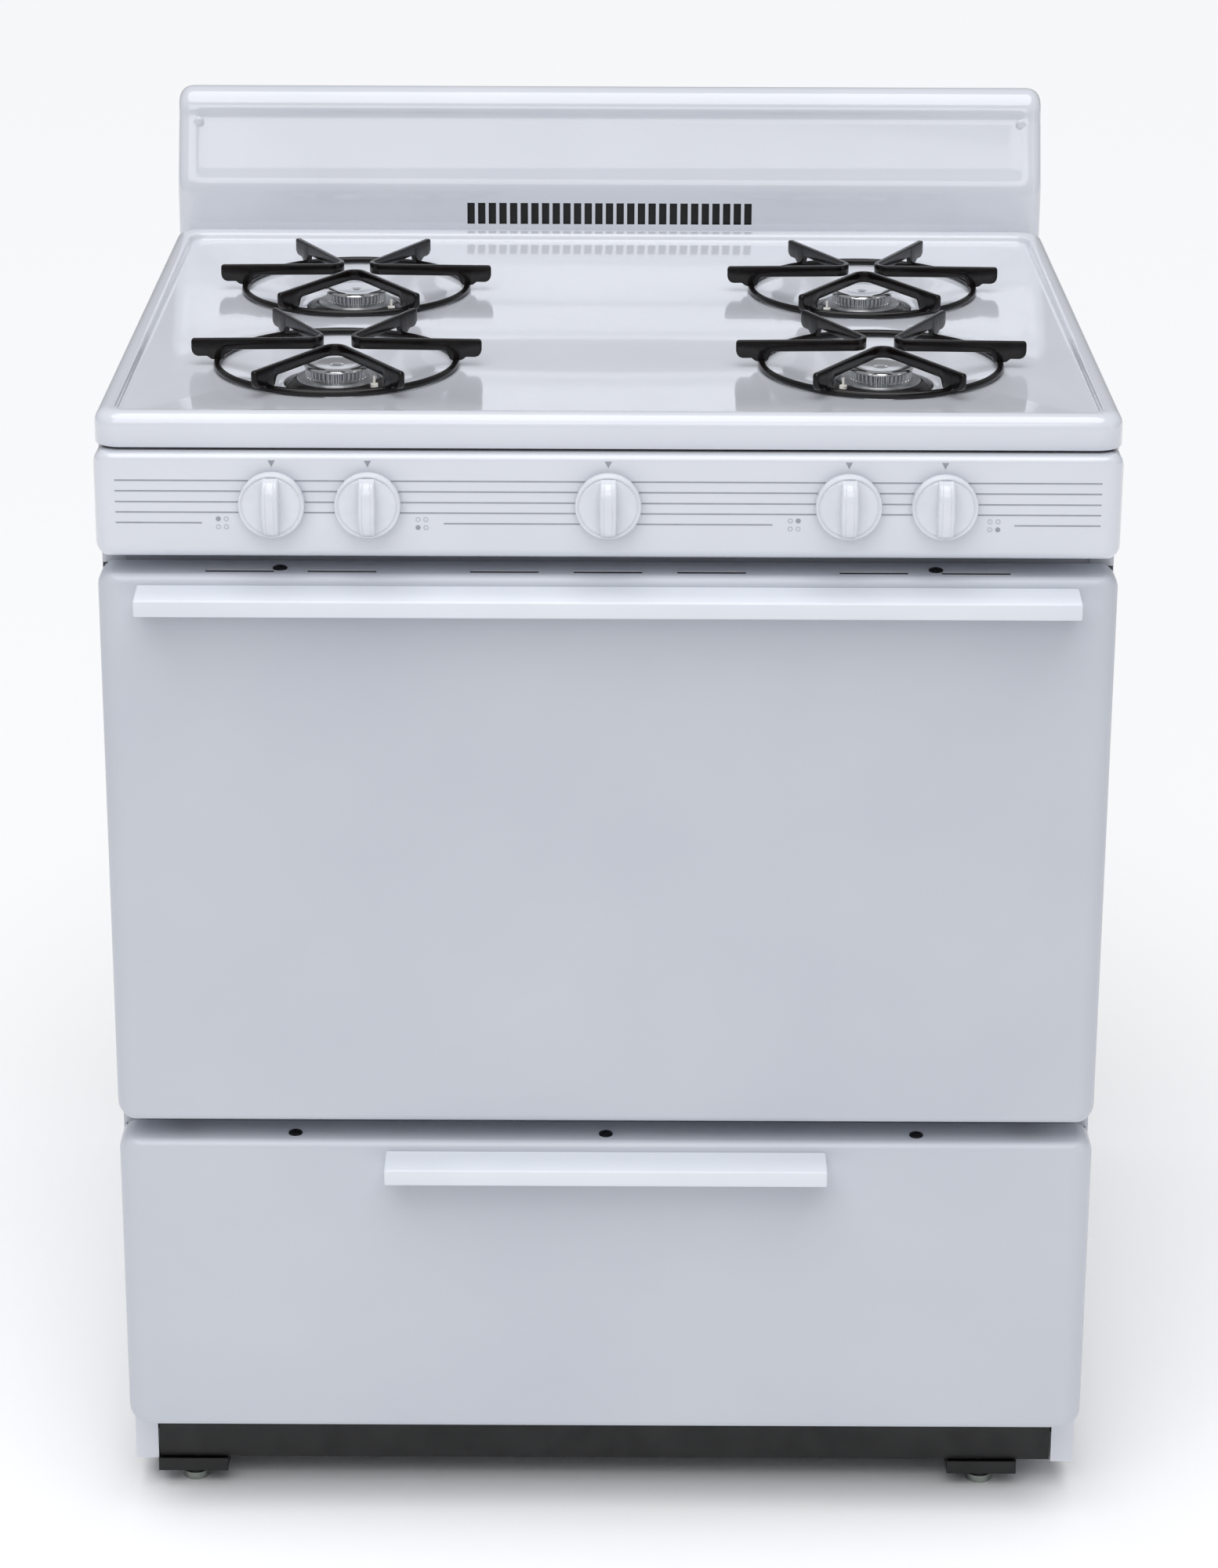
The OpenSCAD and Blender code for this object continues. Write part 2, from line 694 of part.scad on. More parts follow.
finger_h = 14;
inner_h = 9;
apex_r = 15;
lap = 1.5;                                  // the two strips of a V run past each other
grate_gap = 0.3;
module grate(b) {
    ring_z = floor_z + grate_gap + grate_wire_r;
    spread = 30;
    tip = [grate_tip_r * cos(spread), grate_tip_r * sin(spread)];
    leg = norm([tip[0] - apex_r, tip[1]]);
    turn = atan2(tip[1], tip[0] - apex_r);
    foot = leg - (grate_tip_r - grate_ring_r);
    translate([b[0], at(b[1]), 0]) {
        translate([0, 0, ring_z]) rotate_extrude($fn = 96) translate([grate_ring_r, 0])
            circle(r = grate_wire_r, $fn = 8);
        for (a = [-90, 30, 150]) rotate([0, 0, a]) translate([apex_r, 0, floor_z]) {
            for (s = [-1, 1]) rotate([0, 0, s * turn]) translate([0, finger_t / 2, 0]) rotate([90, 0, 0])
                linear_extrude(finger_t)
                    polygon([[-lap, grate_h - inner_h], [foot - 8, grate_h - inner_h], [foot - 4, 4.2],
                        [foot + 4, 4.2], [foot + 8, grate_h - finger_h],
                        [leg - 4, grate_h - finger_h], [leg, grate_h - finger_h + 5],
                        [leg, grate_h - 2], [leg - 2, grate_h], [-lap, grate_h]]);
        }
    }
}
module grate_1() color("black") grate(burners[0]);
module grate_2() color("black") grate(burners[1]);
module grate_3() color("black") grate(burners[2]);
module grate_4() color("black") grate(burners[3]);

// ---------- knobs ----------

module d_section(r, flat) {
    intersection() {
        circle(r = r);
        translate([-r, -r]) square([2 * r, r + flat]);
    }
}
module stem(x) translate([x, at(0), knob_z]) rotate([90, 0, 0]) {
    collar = 2;
    translate([0, 0, -stem_back]) cylinder(r = stem_r, h = stem_back - collar);
    translate([0, 0, -collar - e]) linear_extrude(collar + e - stem_front) d_section(stem_r, flat_at);
}
module knob(x) translate([x, at(0), knob_z]) rotate([90, 0, 0]) {
    skirt_h = 9;
    bore_l = -stem_front - knob_gap + knob_push + 1;
    grip_w = 13;
    difference() {
        union() {
            translate([0, 0, knob_gap]) cylinder(r1 = knob_r, r2 = knob_r - 0.5, h = skirt_h);
            translate([0, 0, knob_gap + skirt_h]) cylinder(r1 = knob_r - 2.5, r2 = knob_r - 3.5, h = 2);
            intersection() {
                translate([0, 0, knob_gap + skirt_h])
                    cylinder(r = knob_r - 2.5, h = knob_out - skirt_h - knob_gap);
                block([-grip_w / 2, -knob_r, 0], [grip_w / 2, knob_r, knob_out]);
            }
        }
        translate([0, 0, knob_gap - 1]) linear_extrude(bore_l + 1)
            d_section(stem_r + run_gap, flat_at + run_gap);
    }
}
module stem_1() color("silver") stem(knob_xs[0]);
module stem_2() color("silver") stem(knob_xs[1]);
module stem_3() color("silver") stem(knob_xs[2]);
module stem_4() color("silver") stem(knob_xs[3]);
module stem_5() color("silver") stem(knob_xs[4]);
module knob_1() color("white") knob(knob_xs[0]);
module knob_2() color("white") knob(knob_xs[1]);
module knob_3() color("white") knob(knob_xs[2]);
module knob_4() color("white") knob(knob_xs[3]);
module knob_5() color("white") knob(knob_xs[4]);

// ---------- oven door ----------

vent_xs = [-273.5, -197.5, -77, 0, 77, 197.5, 273.5];
vent_l = 51;
plug_inset = 16;                            // between the oven's opening and the door's plug
module hinge_notches(d0)
    for (s = [-1, 1])
        block([s * hinge_x - notch_w / 2, at(d0), door_z - 1],
            [s * hinge_x + notch_w / 2, at(door_t + 20), hinge_z + hinge_arm_r + 3]);

module door_outer_panel() color("gainsboro")
    difference() {
        pressed_front(door_z, door_top, door_t, 6, 7);
        hinge_notches(10);
        for (x = vent_xs)
            block([x - vent_l / 2, at(10), door_top - 3], [x + vent_l / 2, at(16), door_top + 1]);
    }

module door_inner_panel() color("lightgray") {
    x = half_w - sheet - 0.3;
    plug_x = oven_w / 2 - plug_inset;
    plug_out = 7;
    difference() {
        block([-x, at(door_t - sheet), door_z + sheet + 0.3], [x, at(door_t), door_top - sheet - 0.3]);
        hinge_notches(10);
    }
    difference() {
        block([-plug_x, at(door_t), oven_z + plug_inset],
            [plug_x, at(door_t + plug_out), oven_top - plug_inset]);
        block([-plug_x + sheet, at(door_t - 1), oven_z + plug_inset + sheet],
            [plug_x - sheet, at(door_t + plug_out - sheet), oven_top - plug_inset - sheet]);
    }
}

module door_insulation() color("khaki")
    block([-oven_w / 2 - 15, at(sheet + 2), oven_z + plug_inset],
        [oven_w / 2 + 15, at(door_t - sheet), oven_top - plug_inset]);

gasket_w = 8;
module door_gasket() color("dimgray") {
    x = oven_w / 2 + 4;
    z0 = oven_z - 4;
    z1 = oven_top + 4;
    difference() {
        block([-x - gasket_w, at(door_t), z0 - gasket_w],
            [x + gasket_w, at(frame_face - 0.3), z1 + gasket_w]);
        block([-x, at(door_t - 1), z0], [x, at(frame_face), z1]);
    }
}

module door_handle() color("white") lip_handle(door_handle_l, door_top);

// cheeks either side of each bracket, turning on its pin
module door_hinge_arms() color("gray")
    for (s = [-1, 1]) for (side = [-1, 1]) {
        x = s * hinge_x + side * (bracket_half_t + cheek_gap + cheek_t / 2) - cheek_t / 2;
        difference() {
            union() {
                rod_x([x, at(hinge_d), hinge_z], hinge_pin_r + 4, cheek_t);
                block([x, at(hinge_d), hinge_z], [x + cheek_t, at(door_t - sheet), hinge_z + 60]);
                block([x, at(hinge_d - 6), hinge_z + 16], [x + cheek_t, at(door_t - sheet), hinge_z + 60]);
            }
            rod_x([x - 1, at(hinge_d), hinge_z], hinge_pin_r + run_gap, cheek_t + 2);
        }
    }

module door_screws() color("black") flange_screws([-244, 244], door_top, door_t / 2);

// ---------- broiler drawer ----------

module drawer_front() color("gainsboro") pressed_front(kick_h, drawer_top, door_t, 6, 7);

module drawer_handle() color("white") lip_handle(drawer_handle_l, drawer_top);

module drawer_screws() color("black") flange_screws([-242, 0, 242], drawer_top, door_t / 2 - 3);

module drawer_box() color("lightslategray") {
    x = drawer_x;
    z1 = drawer_bottom + drawer_side_h;
    block([-half_w + 3, at(door_t), kick_h + 3], [half_w - 3, at(door_t + sheet), drawer_top - 3]);
    difference() {
        block([-x, at(door_t + sheet), drawer_bottom], [x, at(drawer_back), z1]);
        block([-x + sheet, at(door_t + sheet - 1), drawer_bottom + sheet],
            [x - sheet, at(drawer_back - sheet), z1 + 1]);
    }
}

module drawer_runners() color("silver")
    for (s = [0, 1]) mirror([s, 0, 0])
        block([drawer_x, at(frame_back + 6), runner_z],
            [drawer_x + runner_t, at(drawer_back - 6), runner_z + runner_h]);

pan_x = 205;
pan_d0 = door_t + 90;
pan_l = 330;
pan_h = 38;
pan_t = 1.5;
grid_rim = 8;                               // how far the grid reaches past the pan's walls
pan_z = drawer_bottom + sheet;
module broiler_pan() color("black")
    difference() {
        block([-pan_x, at(pan_d0), pan_z], [pan_x, at(pan_d0 + pan_l), pan_z + pan_h]);
        block([-pan_x + pan_t, at(pan_d0 + pan_t), pan_z + pan_t],
            [pan_x - pan_t, at(pan_d0 + pan_l - pan_t), pan_z + pan_h + 1]);
    }

module broiler_grid() color("black") {
    n = 13;                                 // slots across
    m = 3;                                  // rows of slots
    w = 2 * (pan_x + grid_rim);
    l = pan_l + 2 * grid_rim;
    t = 3;
    edge = 20;
    pitch_x = (w - 2 * edge) / n;
    pitch_y = (l - 2 * edge) / m;
    bar = 6;                                // half width of the bars between the slots
    translate([-w / 2, at(pan_d0 - grid_rim), pan_z + pan_h]) difference() {
        cube([w, l, t]);
        for (i = [0 : n - 1]) for (j = [0 : m - 1])
            translate([edge + i * pitch_x + bar, edge + j * pitch_y + bar, -1])
                cube([14, pitch_y - 2 * bar, t + 2]);
    }
}

left_side_panel();
right_side_panel();
back_panel();
base_frame();
kick_rail();
leveling_legs();
leg_brackets();
front_frame();
hinge_brackets();
oven_liner();
oven_floor();
oven_burner();
flame_spreader();
oven_insulation();
rack_guides();
upper_rack();
lower_rack();
oven_flue();
drawer_rails();
manifold_pipe();
burner_valves();
oven_thermostat();
burner_tubes();
burner_heads();
burner_caps();
igniters();
gas_regulator();
control_panel();
backguard();
cooktop_brackets();
cooktop();
cooktop_pins();
grate_1();
grate_2();
grate_3();
grate_4();
stem_1();
stem_2();
stem_3();
stem_4();
stem_5();
knob_1();
knob_2();
knob_3();
knob_4();
knob_5();
door_outer_panel();
door_inner_panel();
door_insulation();
door_gasket();
door_handle();
door_hinge_arms();
door_screws();
drawer_front();
drawer_handle();
drawer_box();
drawer_runners();
broiler_pan();
broiler_grid();
drawer_screws();
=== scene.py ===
import json
import math
import bpy
import bmesh
from mathutils import Matrix, Vector
from mathutils.geometry import delaunay_2d_cdt


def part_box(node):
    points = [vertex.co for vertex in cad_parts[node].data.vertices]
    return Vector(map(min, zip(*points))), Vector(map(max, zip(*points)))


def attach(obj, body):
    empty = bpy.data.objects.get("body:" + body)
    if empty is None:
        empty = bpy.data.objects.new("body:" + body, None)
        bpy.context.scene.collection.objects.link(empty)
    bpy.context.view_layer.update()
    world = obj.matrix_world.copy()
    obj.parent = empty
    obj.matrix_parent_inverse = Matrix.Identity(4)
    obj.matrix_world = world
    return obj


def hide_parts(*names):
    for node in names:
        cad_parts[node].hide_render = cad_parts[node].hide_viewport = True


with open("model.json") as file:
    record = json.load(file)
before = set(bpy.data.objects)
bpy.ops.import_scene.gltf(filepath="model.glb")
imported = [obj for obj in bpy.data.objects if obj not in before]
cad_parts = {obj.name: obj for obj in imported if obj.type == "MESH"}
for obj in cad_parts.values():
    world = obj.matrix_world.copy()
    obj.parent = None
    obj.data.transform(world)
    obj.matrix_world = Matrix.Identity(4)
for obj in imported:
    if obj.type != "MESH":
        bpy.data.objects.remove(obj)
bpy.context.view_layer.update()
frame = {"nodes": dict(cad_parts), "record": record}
mm = 0.001
print("frame loaded:", len(frame["nodes"]), "parts")


# mesh helpers

def makeMesh(name, verts, faces, sharpAngle=35):
    mesh = bpy.data.meshes.new(name)
    mesh.from_pydata([tuple(v) for v in verts], [], faces)
    work = bmesh.new()
    work.from_mesh(mesh)
    bmesh.ops.remove_doubles(work, verts=work.verts, dist=1e-6)
    bmesh.ops.recalc_face_normals(work, faces=work.faces)
    work.to_mesh(mesh)
    work.free()
    mesh.shade_smooth()
    mesh.set_sharp_from_angle(angle=math.radians(sharpAngle))
    thing = bpy.data.objects.new(name, mesh)
    bpy.context.scene.collection.objects.link(thing)
    return thing


def applyModifiers(thing, sharpAngle=35):
    bpy.context.view_layer.update()
    evaluated = thing.evaluated_get(bpy.context.evaluated_depsgraph_get())
    mesh = bpy.data.meshes.new_from_object(evaluated)
    thing.modifiers.clear()
    thing.data = mesh
    mesh.shade_smooth()
    mesh.set_sharp_from_angle(angle=math.radians(sharpAngle))
    return thing


def turnOutward(thing, faceIndex, outward):
    # an open sheet has no inside, so one face says which side is out
    if thing.data.polygons[faceIndex].normal.dot(Vector(outward)) < 0:
        thing.data.flip_normals()
    return thing


def thicken(thing, thickness, sharpAngle=35):
    solid = thing.modifiers.new("sheet", "SOLIDIFY")
    solid.thickness = thickness
    solid.offset = -1
    solid.use_even_offset = True
    return applyModifiers(thing, sharpAngle)


def bevelEdges(thing, width, segments=2, angle=30):
    bevel = thing.modifiers.new("edges", "BEVEL")
    bevel.width = width
    bevel.segments = segments
    bevel.limit_method = "ANGLE"
    bevel.angle_limit = math.radians(angle)
    bevel.harden_normals = False
    return applyModifiers(thing)


def boxMesh(name, boxes):
    verts = []
    faces = []
    for low, high in boxes:
        n = len(verts)
        verts += [(x, y, z) for z in (low[2], high[2]) for y in (low[1], high[1]) for x in (low[0], high[0])]
        faces += [tuple(n + i for i in f) for f in
                  ((0, 2, 3, 1), (4, 5, 7, 6), (0, 1, 5, 4), (2, 6, 7, 3), (0, 4, 6, 2), (1, 3, 7, 5))]
    return makeMesh(name, verts, faces)


def cutWith(thing, cutter):
    cut = thing.modifiers.new("cut", "BOOLEAN")
    cut.operation = "DIFFERENCE"
    cut.solver = "EXACT"
    cut.object = cutter
    applyModifiers(thing)
    bpy.data.objects.remove(cutter)
    return thing


def joinAll(name, things):
    # one object from several, already in place
    work = bmesh.new()
    for thing in things:
        part = thing.data.copy()
        part.transform(thing.matrix_world)
        work.from_mesh(part)
        bpy.data.meshes.remove(part)
        bpy.data.objects.remove(thing)
    mesh = bpy.data.meshes.new(name)
    work.to_mesh(mesh)
    work.free()
    mesh.shade_smooth()
    mesh.set_sharp_from_angle(angle=math.radians(35))
    thing = bpy.data.objects.new(name, mesh)
    bpy.context.scene.collection.objects.link(thing)
    return thing


def roundRect(x0, x1, y0, y1, radius, steps=8):
    # closed outline, counter-clockwise, always 4 * (steps + 1) points
    radius = max(min(radius, (x1 - x0) / 2, (y1 - y0) / 2), 1e-4)
    corners = ((x1 - radius, y1 - radius), (x0 + radius, y1 - radius),
               (x0 + radius, y0 + radius), (x1 - radius, y0 + radius))
    points = []
    for quarter, (cx, cy) in enumerate(corners):
        for i in range(steps + 1):
            a = math.pi / 2 * (quarter + i / steps)
            points.append((cx + radius * math.cos(a), cy + radius * math.sin(a)))
    return points


def loft(name, rings, capFirst=True, capLast=True, closed=True, sharpAngle=35):
    # skin over rings of equal length
    count = len(rings[0])
    verts = [p for ring in rings for p in ring]
    faces = []
    for j in range(len(rings) - 1):
        for i in range(count if closed else count - 1):
            k = (i + 1) % count
            faces.append((j * count + i, j * count + k, (j + 1) * count + k, (j + 1) * count + i))
    if capFirst:
        faces.append(tuple(range(count - 1, -1, -1)))
    if capLast:
        faces.append(tuple(range((len(rings) - 1) * count, len(rings) * count)))
    return makeMesh(name, verts, faces, sharpAngle)


def lathe(name, outline, place, axis="z", steps=64, sharpAngle=35):
    # outline is (radius, height) pairs turned about an axis through place
    rings = []
    for radius, height in outline:
        ring = []
        for i in range(steps):
            a = 2 * math.pi * i / steps
            u, v = radius * math.cos(a), radius * math.sin(a)
            ring.append({"z": (u, v, height), "y": (u, height, -v), "x": (height, u, v)}[axis])
        rings.append([(p[0] + place[0], p[1] + place[1], p[2] + place[2]) for p in ring])
    return loft(name, rings, outline[0][0] > 1e-6, outline[-1][0] > 1e-6, sharpAngle=sharpAngle)


def arcPoints(cx, cy, radius, start, end, steps=6):
    # points on an arc, angles in degrees
    return [(cx + radius * math.cos(math.radians(start + (end - start) * i / steps)),
             cy + radius * math.sin(math.radians(start + (end - start) * i / steps)))
            for i in range(steps + 1)]


def finishPiece(thing, body, material, nodes=()):
    thing.data.materials.clear()
    thing.data.materials.append(material)
    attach(thing, body)
    if nodes:
        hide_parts(*nodes)
    return thing


# material helpers

def toLinear(hexColour):
    values = []
    for i in (1, 3, 5):
        c = int(hexColour[i:i + 2], 16) / 255
        values.append(c / 12.92 if c <= 0.04045 else ((c + 0.055) / 1.055) ** 2.4)
    return (*values, 1.0)


def addNode(material, kind, settings=None, links=None):
    # one node with its settings and links; a link is socket: (node, output)
    node = material.node_tree.nodes.new(kind)
    for key, value in (settings or {}).items():
        if key in node.inputs:
            node.inputs[key].default_value = value
        elif isinstance(key, int):
            node.inputs[key].default_value = value
        else:
            setattr(node, key, value)
    for socket, (source, output) in (links or {}).items():
        material.node_tree.links.new(source.outputs[output], node.inputs[socket])
    return node


def startMaterial(name, settings):
    material = bpy.data.materials.new(name)
    material.use_nodes = True
    shader = material.node_tree.nodes["Principled BSDF"]
    for key, value in settings.items():
        shader.inputs[key].default_value = value
    place = addNode(material, "ShaderNodeTexCoord")
    return material, shader, place


def connect(material, source, output, target, socket):
    material.node_tree.links.new(source.outputs[output], target.inputs[socket])


def perMetre(sizeMm):
    # noise scale that makes features about this size
    return 1000 / sizeMm


def ramp(material, source, output, stops):
    node = addNode(material, "ShaderNodeValToRGB", {}, {"Fac": (source, output)})
    while len(node.color_ramp.elements) < len(stops):
        node.color_ramp.elements.new(0.5)
    for element, (position, colour) in zip(node.color_ramp.elements, stops):
        element.position = position
        element.color = toLinear(colour) if isinstance(colour, str) else (colour, colour, colour, 1)
    return node


def surfaceVariation(material, shader, place, look):
    # slow colour drift, roughness drift and fine relief, in real sizes
    drift = addNode(material, "ShaderNodeTexNoise",
                    {"Scale": perMetre(look["driftMm"]), "Detail": 3.0}, {"Vector": (place, "Object")})
    colour = ramp(material, drift, "Fac", ((0.3, look["colours"][0]), (0.7, look["colours"][1])))
    connect(material, colour, "Color", shader, "Base Color")
    patch = addNode(material, "ShaderNodeTexNoise",
                    {"Scale": perMetre(look["patchMm"]), "Detail": 4.0}, {"Vector": (place, "Object")})
    rough = ramp(material, patch, "Fac", ((0.3, look["rough"][0]), (0.7, look["rough"][1])))
    connect(material, rough, "Color", shader, "Roughness")
    grain = addNode(material, "ShaderNodeTexNoise",
                    {"Scale": perMetre(look["grainMm"]), "Detail": 2.0}, {"Vector": (place, "Object")})
    relief = addNode(material, "ShaderNodeBump",
                     {"Strength": look["relief"], "Distance": look["reliefMm"] * mm},
                      {"Height": (grain, "Fac")})
    connect(material, relief, "Normal", shader, "Normal")
    return colour, relief


# materials

def enamelMaterial(name, look):
    # fired porcelain enamel on steel: glassy coat over a faintly rippled, cool white ground
    material, shader, place = startMaterial(name, {
        "IOR": 1.5, "Metallic": 0.0, "Specular IOR Level": look.get("specular", 0.5),
        "Coat Weight": look["coat"], "Coat Roughness": look["coatRough"], "Coat IOR": 1.5})
    surfaceVariation(material, shader, place, look)
    return material


whiteEnamel = enamelMaterial("whitePorcelainEnamel", {
    "colours": ("#d7dae2", "#dcdfe6"), "driftMm": 160, "rough": (0.10, 0.17), "patchMm": 60,
    "grainMm": 6, "relief": 0.35, "reliefMm": 0.03, "coat": 0.6, "coatRough": 0.04})
doorEnamelPaintedShade = enamelMaterial("orangePeelEnamelPaintedShade", {
    # sprayed coat with an orange-peel texture, less glossy than the cooktop; its colours are set darker than
    # the cooktop's white enamel as painted shade for the dimmer door and drawer
    "colours": ("#c1c5ce", "#c7cbd3"), "driftMm": 220, "rough": (0.36, 0.44), "patchMm": 80,
    "grainMm": 1.6, "relief": 0.4, "reliefMm": 0.05, "coat": 0.15, "coatRough": 0.2})
handlePaint = enamelMaterial("whitePowderCoat", {
    # baked powder coat: smooth satin white with a soft grain
    "colours": ("#dde1e9", "#e2e6ed"), "driftMm": 90, "rough": (0.28, 0.36), "patchMm": 30,
    "grainMm": 1.2, "relief": 0.25, "reliefMm": 0.03, "coat": 0.2, "coatRough": 0.15})
ovenEnamel, ovenShader, ovenPlace = startMaterial("speckledOvenEnamel", {
    "IOR": 1.5, "Coat Weight": 0.3, "Coat Roughness": 0.15})
ovenLook = {"colours": ("#23262b", "#2c3036"), "driftMm": 120, "rough": (0.3, 0.45), "patchMm": 30,
            "grainMm": 4, "relief": 0.3, "reliefMm": 0.04, "speckMm": 3.5}
ovenColour, _ = surfaceVariation(ovenEnamel, ovenShader, ovenPlace, ovenLook)
# pale specks scattered through the dark ground coat
speckCells = addNode(ovenEnamel, "ShaderNodeTexVoronoi", {"Scale": perMetre(ovenLook["speckMm"])},
                     {"Vector": (ovenPlace, "Object")})
speckMask = ramp(ovenEnamel, speckCells, "Distance", ((0.16, 1.0), (0.22, 0.0)))
speckMix = addNode(ovenEnamel, "ShaderNodeMix", {"data_type": "RGBA"})
connect(ovenEnamel, speckMask, "Color", speckMix, "Factor")
ovenEnamel.node_tree.links.new(ovenColour.outputs["Color"], speckMix.inputs[6])
speckMix.inputs[7].default_value = toLinear("#8f959c")
ovenEnamel.node_tree.links.new(speckMix.outputs[2], ovenShader.inputs["Base Color"])


def metalMaterial(name, look):
    # bare or plated metal: fine directional marks or casting grain break up the highlight
    material, shader, place = startMaterial(name, {"Metallic": look.get("metallic", 1.0)})
    colour, relief = surfaceVariation(material, shader, place, look)
    if "brushMm" in look:
        stretch = addNode(material, "ShaderNodeMapping", {"Scale": look["brushAxis"]},
                          {"Vector": (place, "Object")})
        streaks = addNode(material, "ShaderNodeTexNoise",
                          {"Scale": perMetre(look["brushMm"]), "Detail": 2.0},
                           {"Vector": (stretch, "Vector")})
        connect(material, streaks, "Fac", relief, "Height")
    return material


galvanised = metalMaterial("galvanisedSteel", {
    # hot-dip zinc: pale grey with soft crystalline patches
    "colours": ("#9ba0a4", "#b4b8bb"), "driftMm": 14, "rough": (0.32, 0.5), "patchMm": 9,
    "grainMm": 3, "relief": 0.2, "reliefMm": 0.03})
chromeWire = metalMaterial("chromePlatedWire", {
    # bright chrome on drawn wire, a little hazed by heat
    "colours": ("#c8c9cb", "#d6d7d8"), "driftMm": 40, "rough": (0.1, 0.2), "patchMm": 12,
    "grainMm": 2, "relief": 0.1, "reliefMm": 0.02})
polishedCap = metalMaterial("polishedAluminiumCap", {
    # spun and polished aluminium: mirror with faint turning marks
    "colours": ("#d9dadb", "#e6e6e6"), "driftMm": 25, "rough": (0.08, 0.16), "patchMm": 6,
    "grainMm": 1, "relief": 0.12, "reliefMm": 0.02})
castAluminium = metalMaterial("dieCastAluminium", {
    # die-cast alloy: grainy satin grey
    "colours": ("#a9abad", "#bcbdbf"), "driftMm": 12, "rough": (0.28, 0.42), "patchMm": 6,
    "grainMm": 1.2, "relief": 0.35, "reliefMm": 0.05})
castIron = metalMaterial("greyCastIron", {
    # sand-cast iron with a heat-browned skin
    "colours": ("#3a3633", "#4d4640"), "driftMm": 18, "rough": (0.55, 0.75), "patchMm": 8,
    "grainMm": 1.5, "relief": 0.6, "reliefMm": 0.15})
turnedSteel = metalMaterial("turnedSteel", {
    "colours": ("#a5a7a9", "#b9babc"), "driftMm": 10, "rough": (0.22, 0.32), "patchMm": 5,
    "grainMm": 0.8, "relief": 0.2, "reliefMm": 0.02, "brushMm": 6, "brushAxis": (4, 40, 4)})
machinedBrass = metalMaterial("machinedBrass", {
    # forged and machined brass, slightly dulled
    "colours": ("#b5924d", "#c6a45e"), "driftMm": 14, "rough": (0.25, 0.4), "patchMm": 7,
    "grainMm": 1.2, "relief": 0.25, "reliefMm": 0.03})
zincPlate = metalMaterial("zincPlatedSteel", {
    # clear zinc plate with a faint green tint
    "colours": ("#a3aaa4", "#b7beb7"), "driftMm": 8, "rough": (0.25, 0.4), "patchMm": 5,
    "grainMm": 1, "relief": 0.2, "reliefMm": 0.02})
blackOxide = metalMaterial("blackOxideSteel", {
    # blackened screw steel: dark with an oily sheen
    "colours": ("#1d1f21", "#2a2c2e"), "driftMm": 5, "rough": (0.3, 0.45), "patchMm": 3,
    "grainMm": 0.8, "relief": 0.2, "reliefMm": 0.02, "metallic": 0.8})
blackPorcelain = enamelMaterial("blackPorcelainEnamel", {
    # thick gloss black porcelain on formed steel, wavy where it pooled
    "colours": ("#080607", "#120c0b"), "driftMm": 30, "rough": (0.16, 0.3), "patchMm": 12,
    "grainMm": 3.5, "relief": 0.5, "reliefMm": 0.12, "coat": 0.12, "coatRough": 0.08, "specular": 0.3})
blackPaint = enamelMaterial("blackStovePaint", {
    # thin satin black paint on pressed steel
    "colours": ("#070708", "#0e0e0f"), "driftMm": 60, "rough": (0.42, 0.6), "patchMm": 20,
    "grainMm": 1.5, "relief": 0.3, "reliefMm": 0.04, "coat": 0.0, "coatRough": 0.3})
knobPlastic = enamelMaterial("mouldedWhitePhenolic", {
    # glossy compression-moulded thermoset, faintly translucent white
    "colours": ("#d8dbe2", "#dfe2e8"), "driftMm": 20, "rough": (0.14, 0.2), "patchMm": 10,
    "grainMm": 2, "relief": 0.12, "reliefMm": 0.02, "coat": 0.3, "coatRough": 0.05})
ceramic = enamelMaterial("glazedCeramic", {
    "colours": ("#e4e0d6", "#ece9e1"), "driftMm": 6, "rough": (0.15, 0.25), "patchMm": 4,
    "grainMm": 1, "relief": 0.2, "reliefMm": 0.02, "coat": 0.5, "coatRough": 0.08})
greyInk = enamelMaterial("greyScreenInk", {
    # thin screen-printed ceramic ink, matt against the enamel
    "colours": ("#9599a1", "#9fa3ab"), "driftMm": 12, "rough": (0.4, 0.5), "patchMm": 4,
    "grainMm": 0.8, "relief": 0.15, "reliefMm": 0.01, "coat": 0.0, "coatRough": 0.3})
paleInk = enamelMaterial("paleScreenInk", {
    # second, paler pass of the same ink
    "colours": ("#b3b7bf", "#bdc1c8"), "driftMm": 12, "rough": (0.4, 0.5), "patchMm": 4,
    "grainMm": 0.8, "relief": 0.15, "reliefMm": 0.01, "coat": 0.0, "coatRough": 0.3})


def fibreMaterial(name, colours, threadMm):
    # spun mineral or glass fibre: crossed threads with a dry, matt surface
    material, shader, place = startMaterial(name, {"Roughness": 0.9, "Sheen Weight": 0.3})
    warp = addNode(material, "ShaderNodeTexWave",
                   {"Scale": perMetre(threadMm) / 6, "Distortion": 3.0, "Detail": 2.0,
                    "bands_direction": "DIAGONAL"}, {"Vector": (place, "Object")})
    tone = ramp(material, warp, "Fac", ((0.2, colours[0]), (0.8, colours[1])))
    connect(material, tone, "Color", shader, "Base Color")
    relief = addNode(material, "ShaderNodeBump", {"Strength": 0.6, "Distance": threadMm / 2 * mm},
                     {"Height": (warp, "Fac")})
    connect(material, relief, "Normal", shader, "Normal")
    return material


mineralWool = fibreMaterial("mineralWool", ("#a99c6e", "#cbbf92"), 5)
glassRope = fibreMaterial("braidedGlassFibre", ("#3a3a3a", "#6b6b69"), 2.5)
print("materials made")

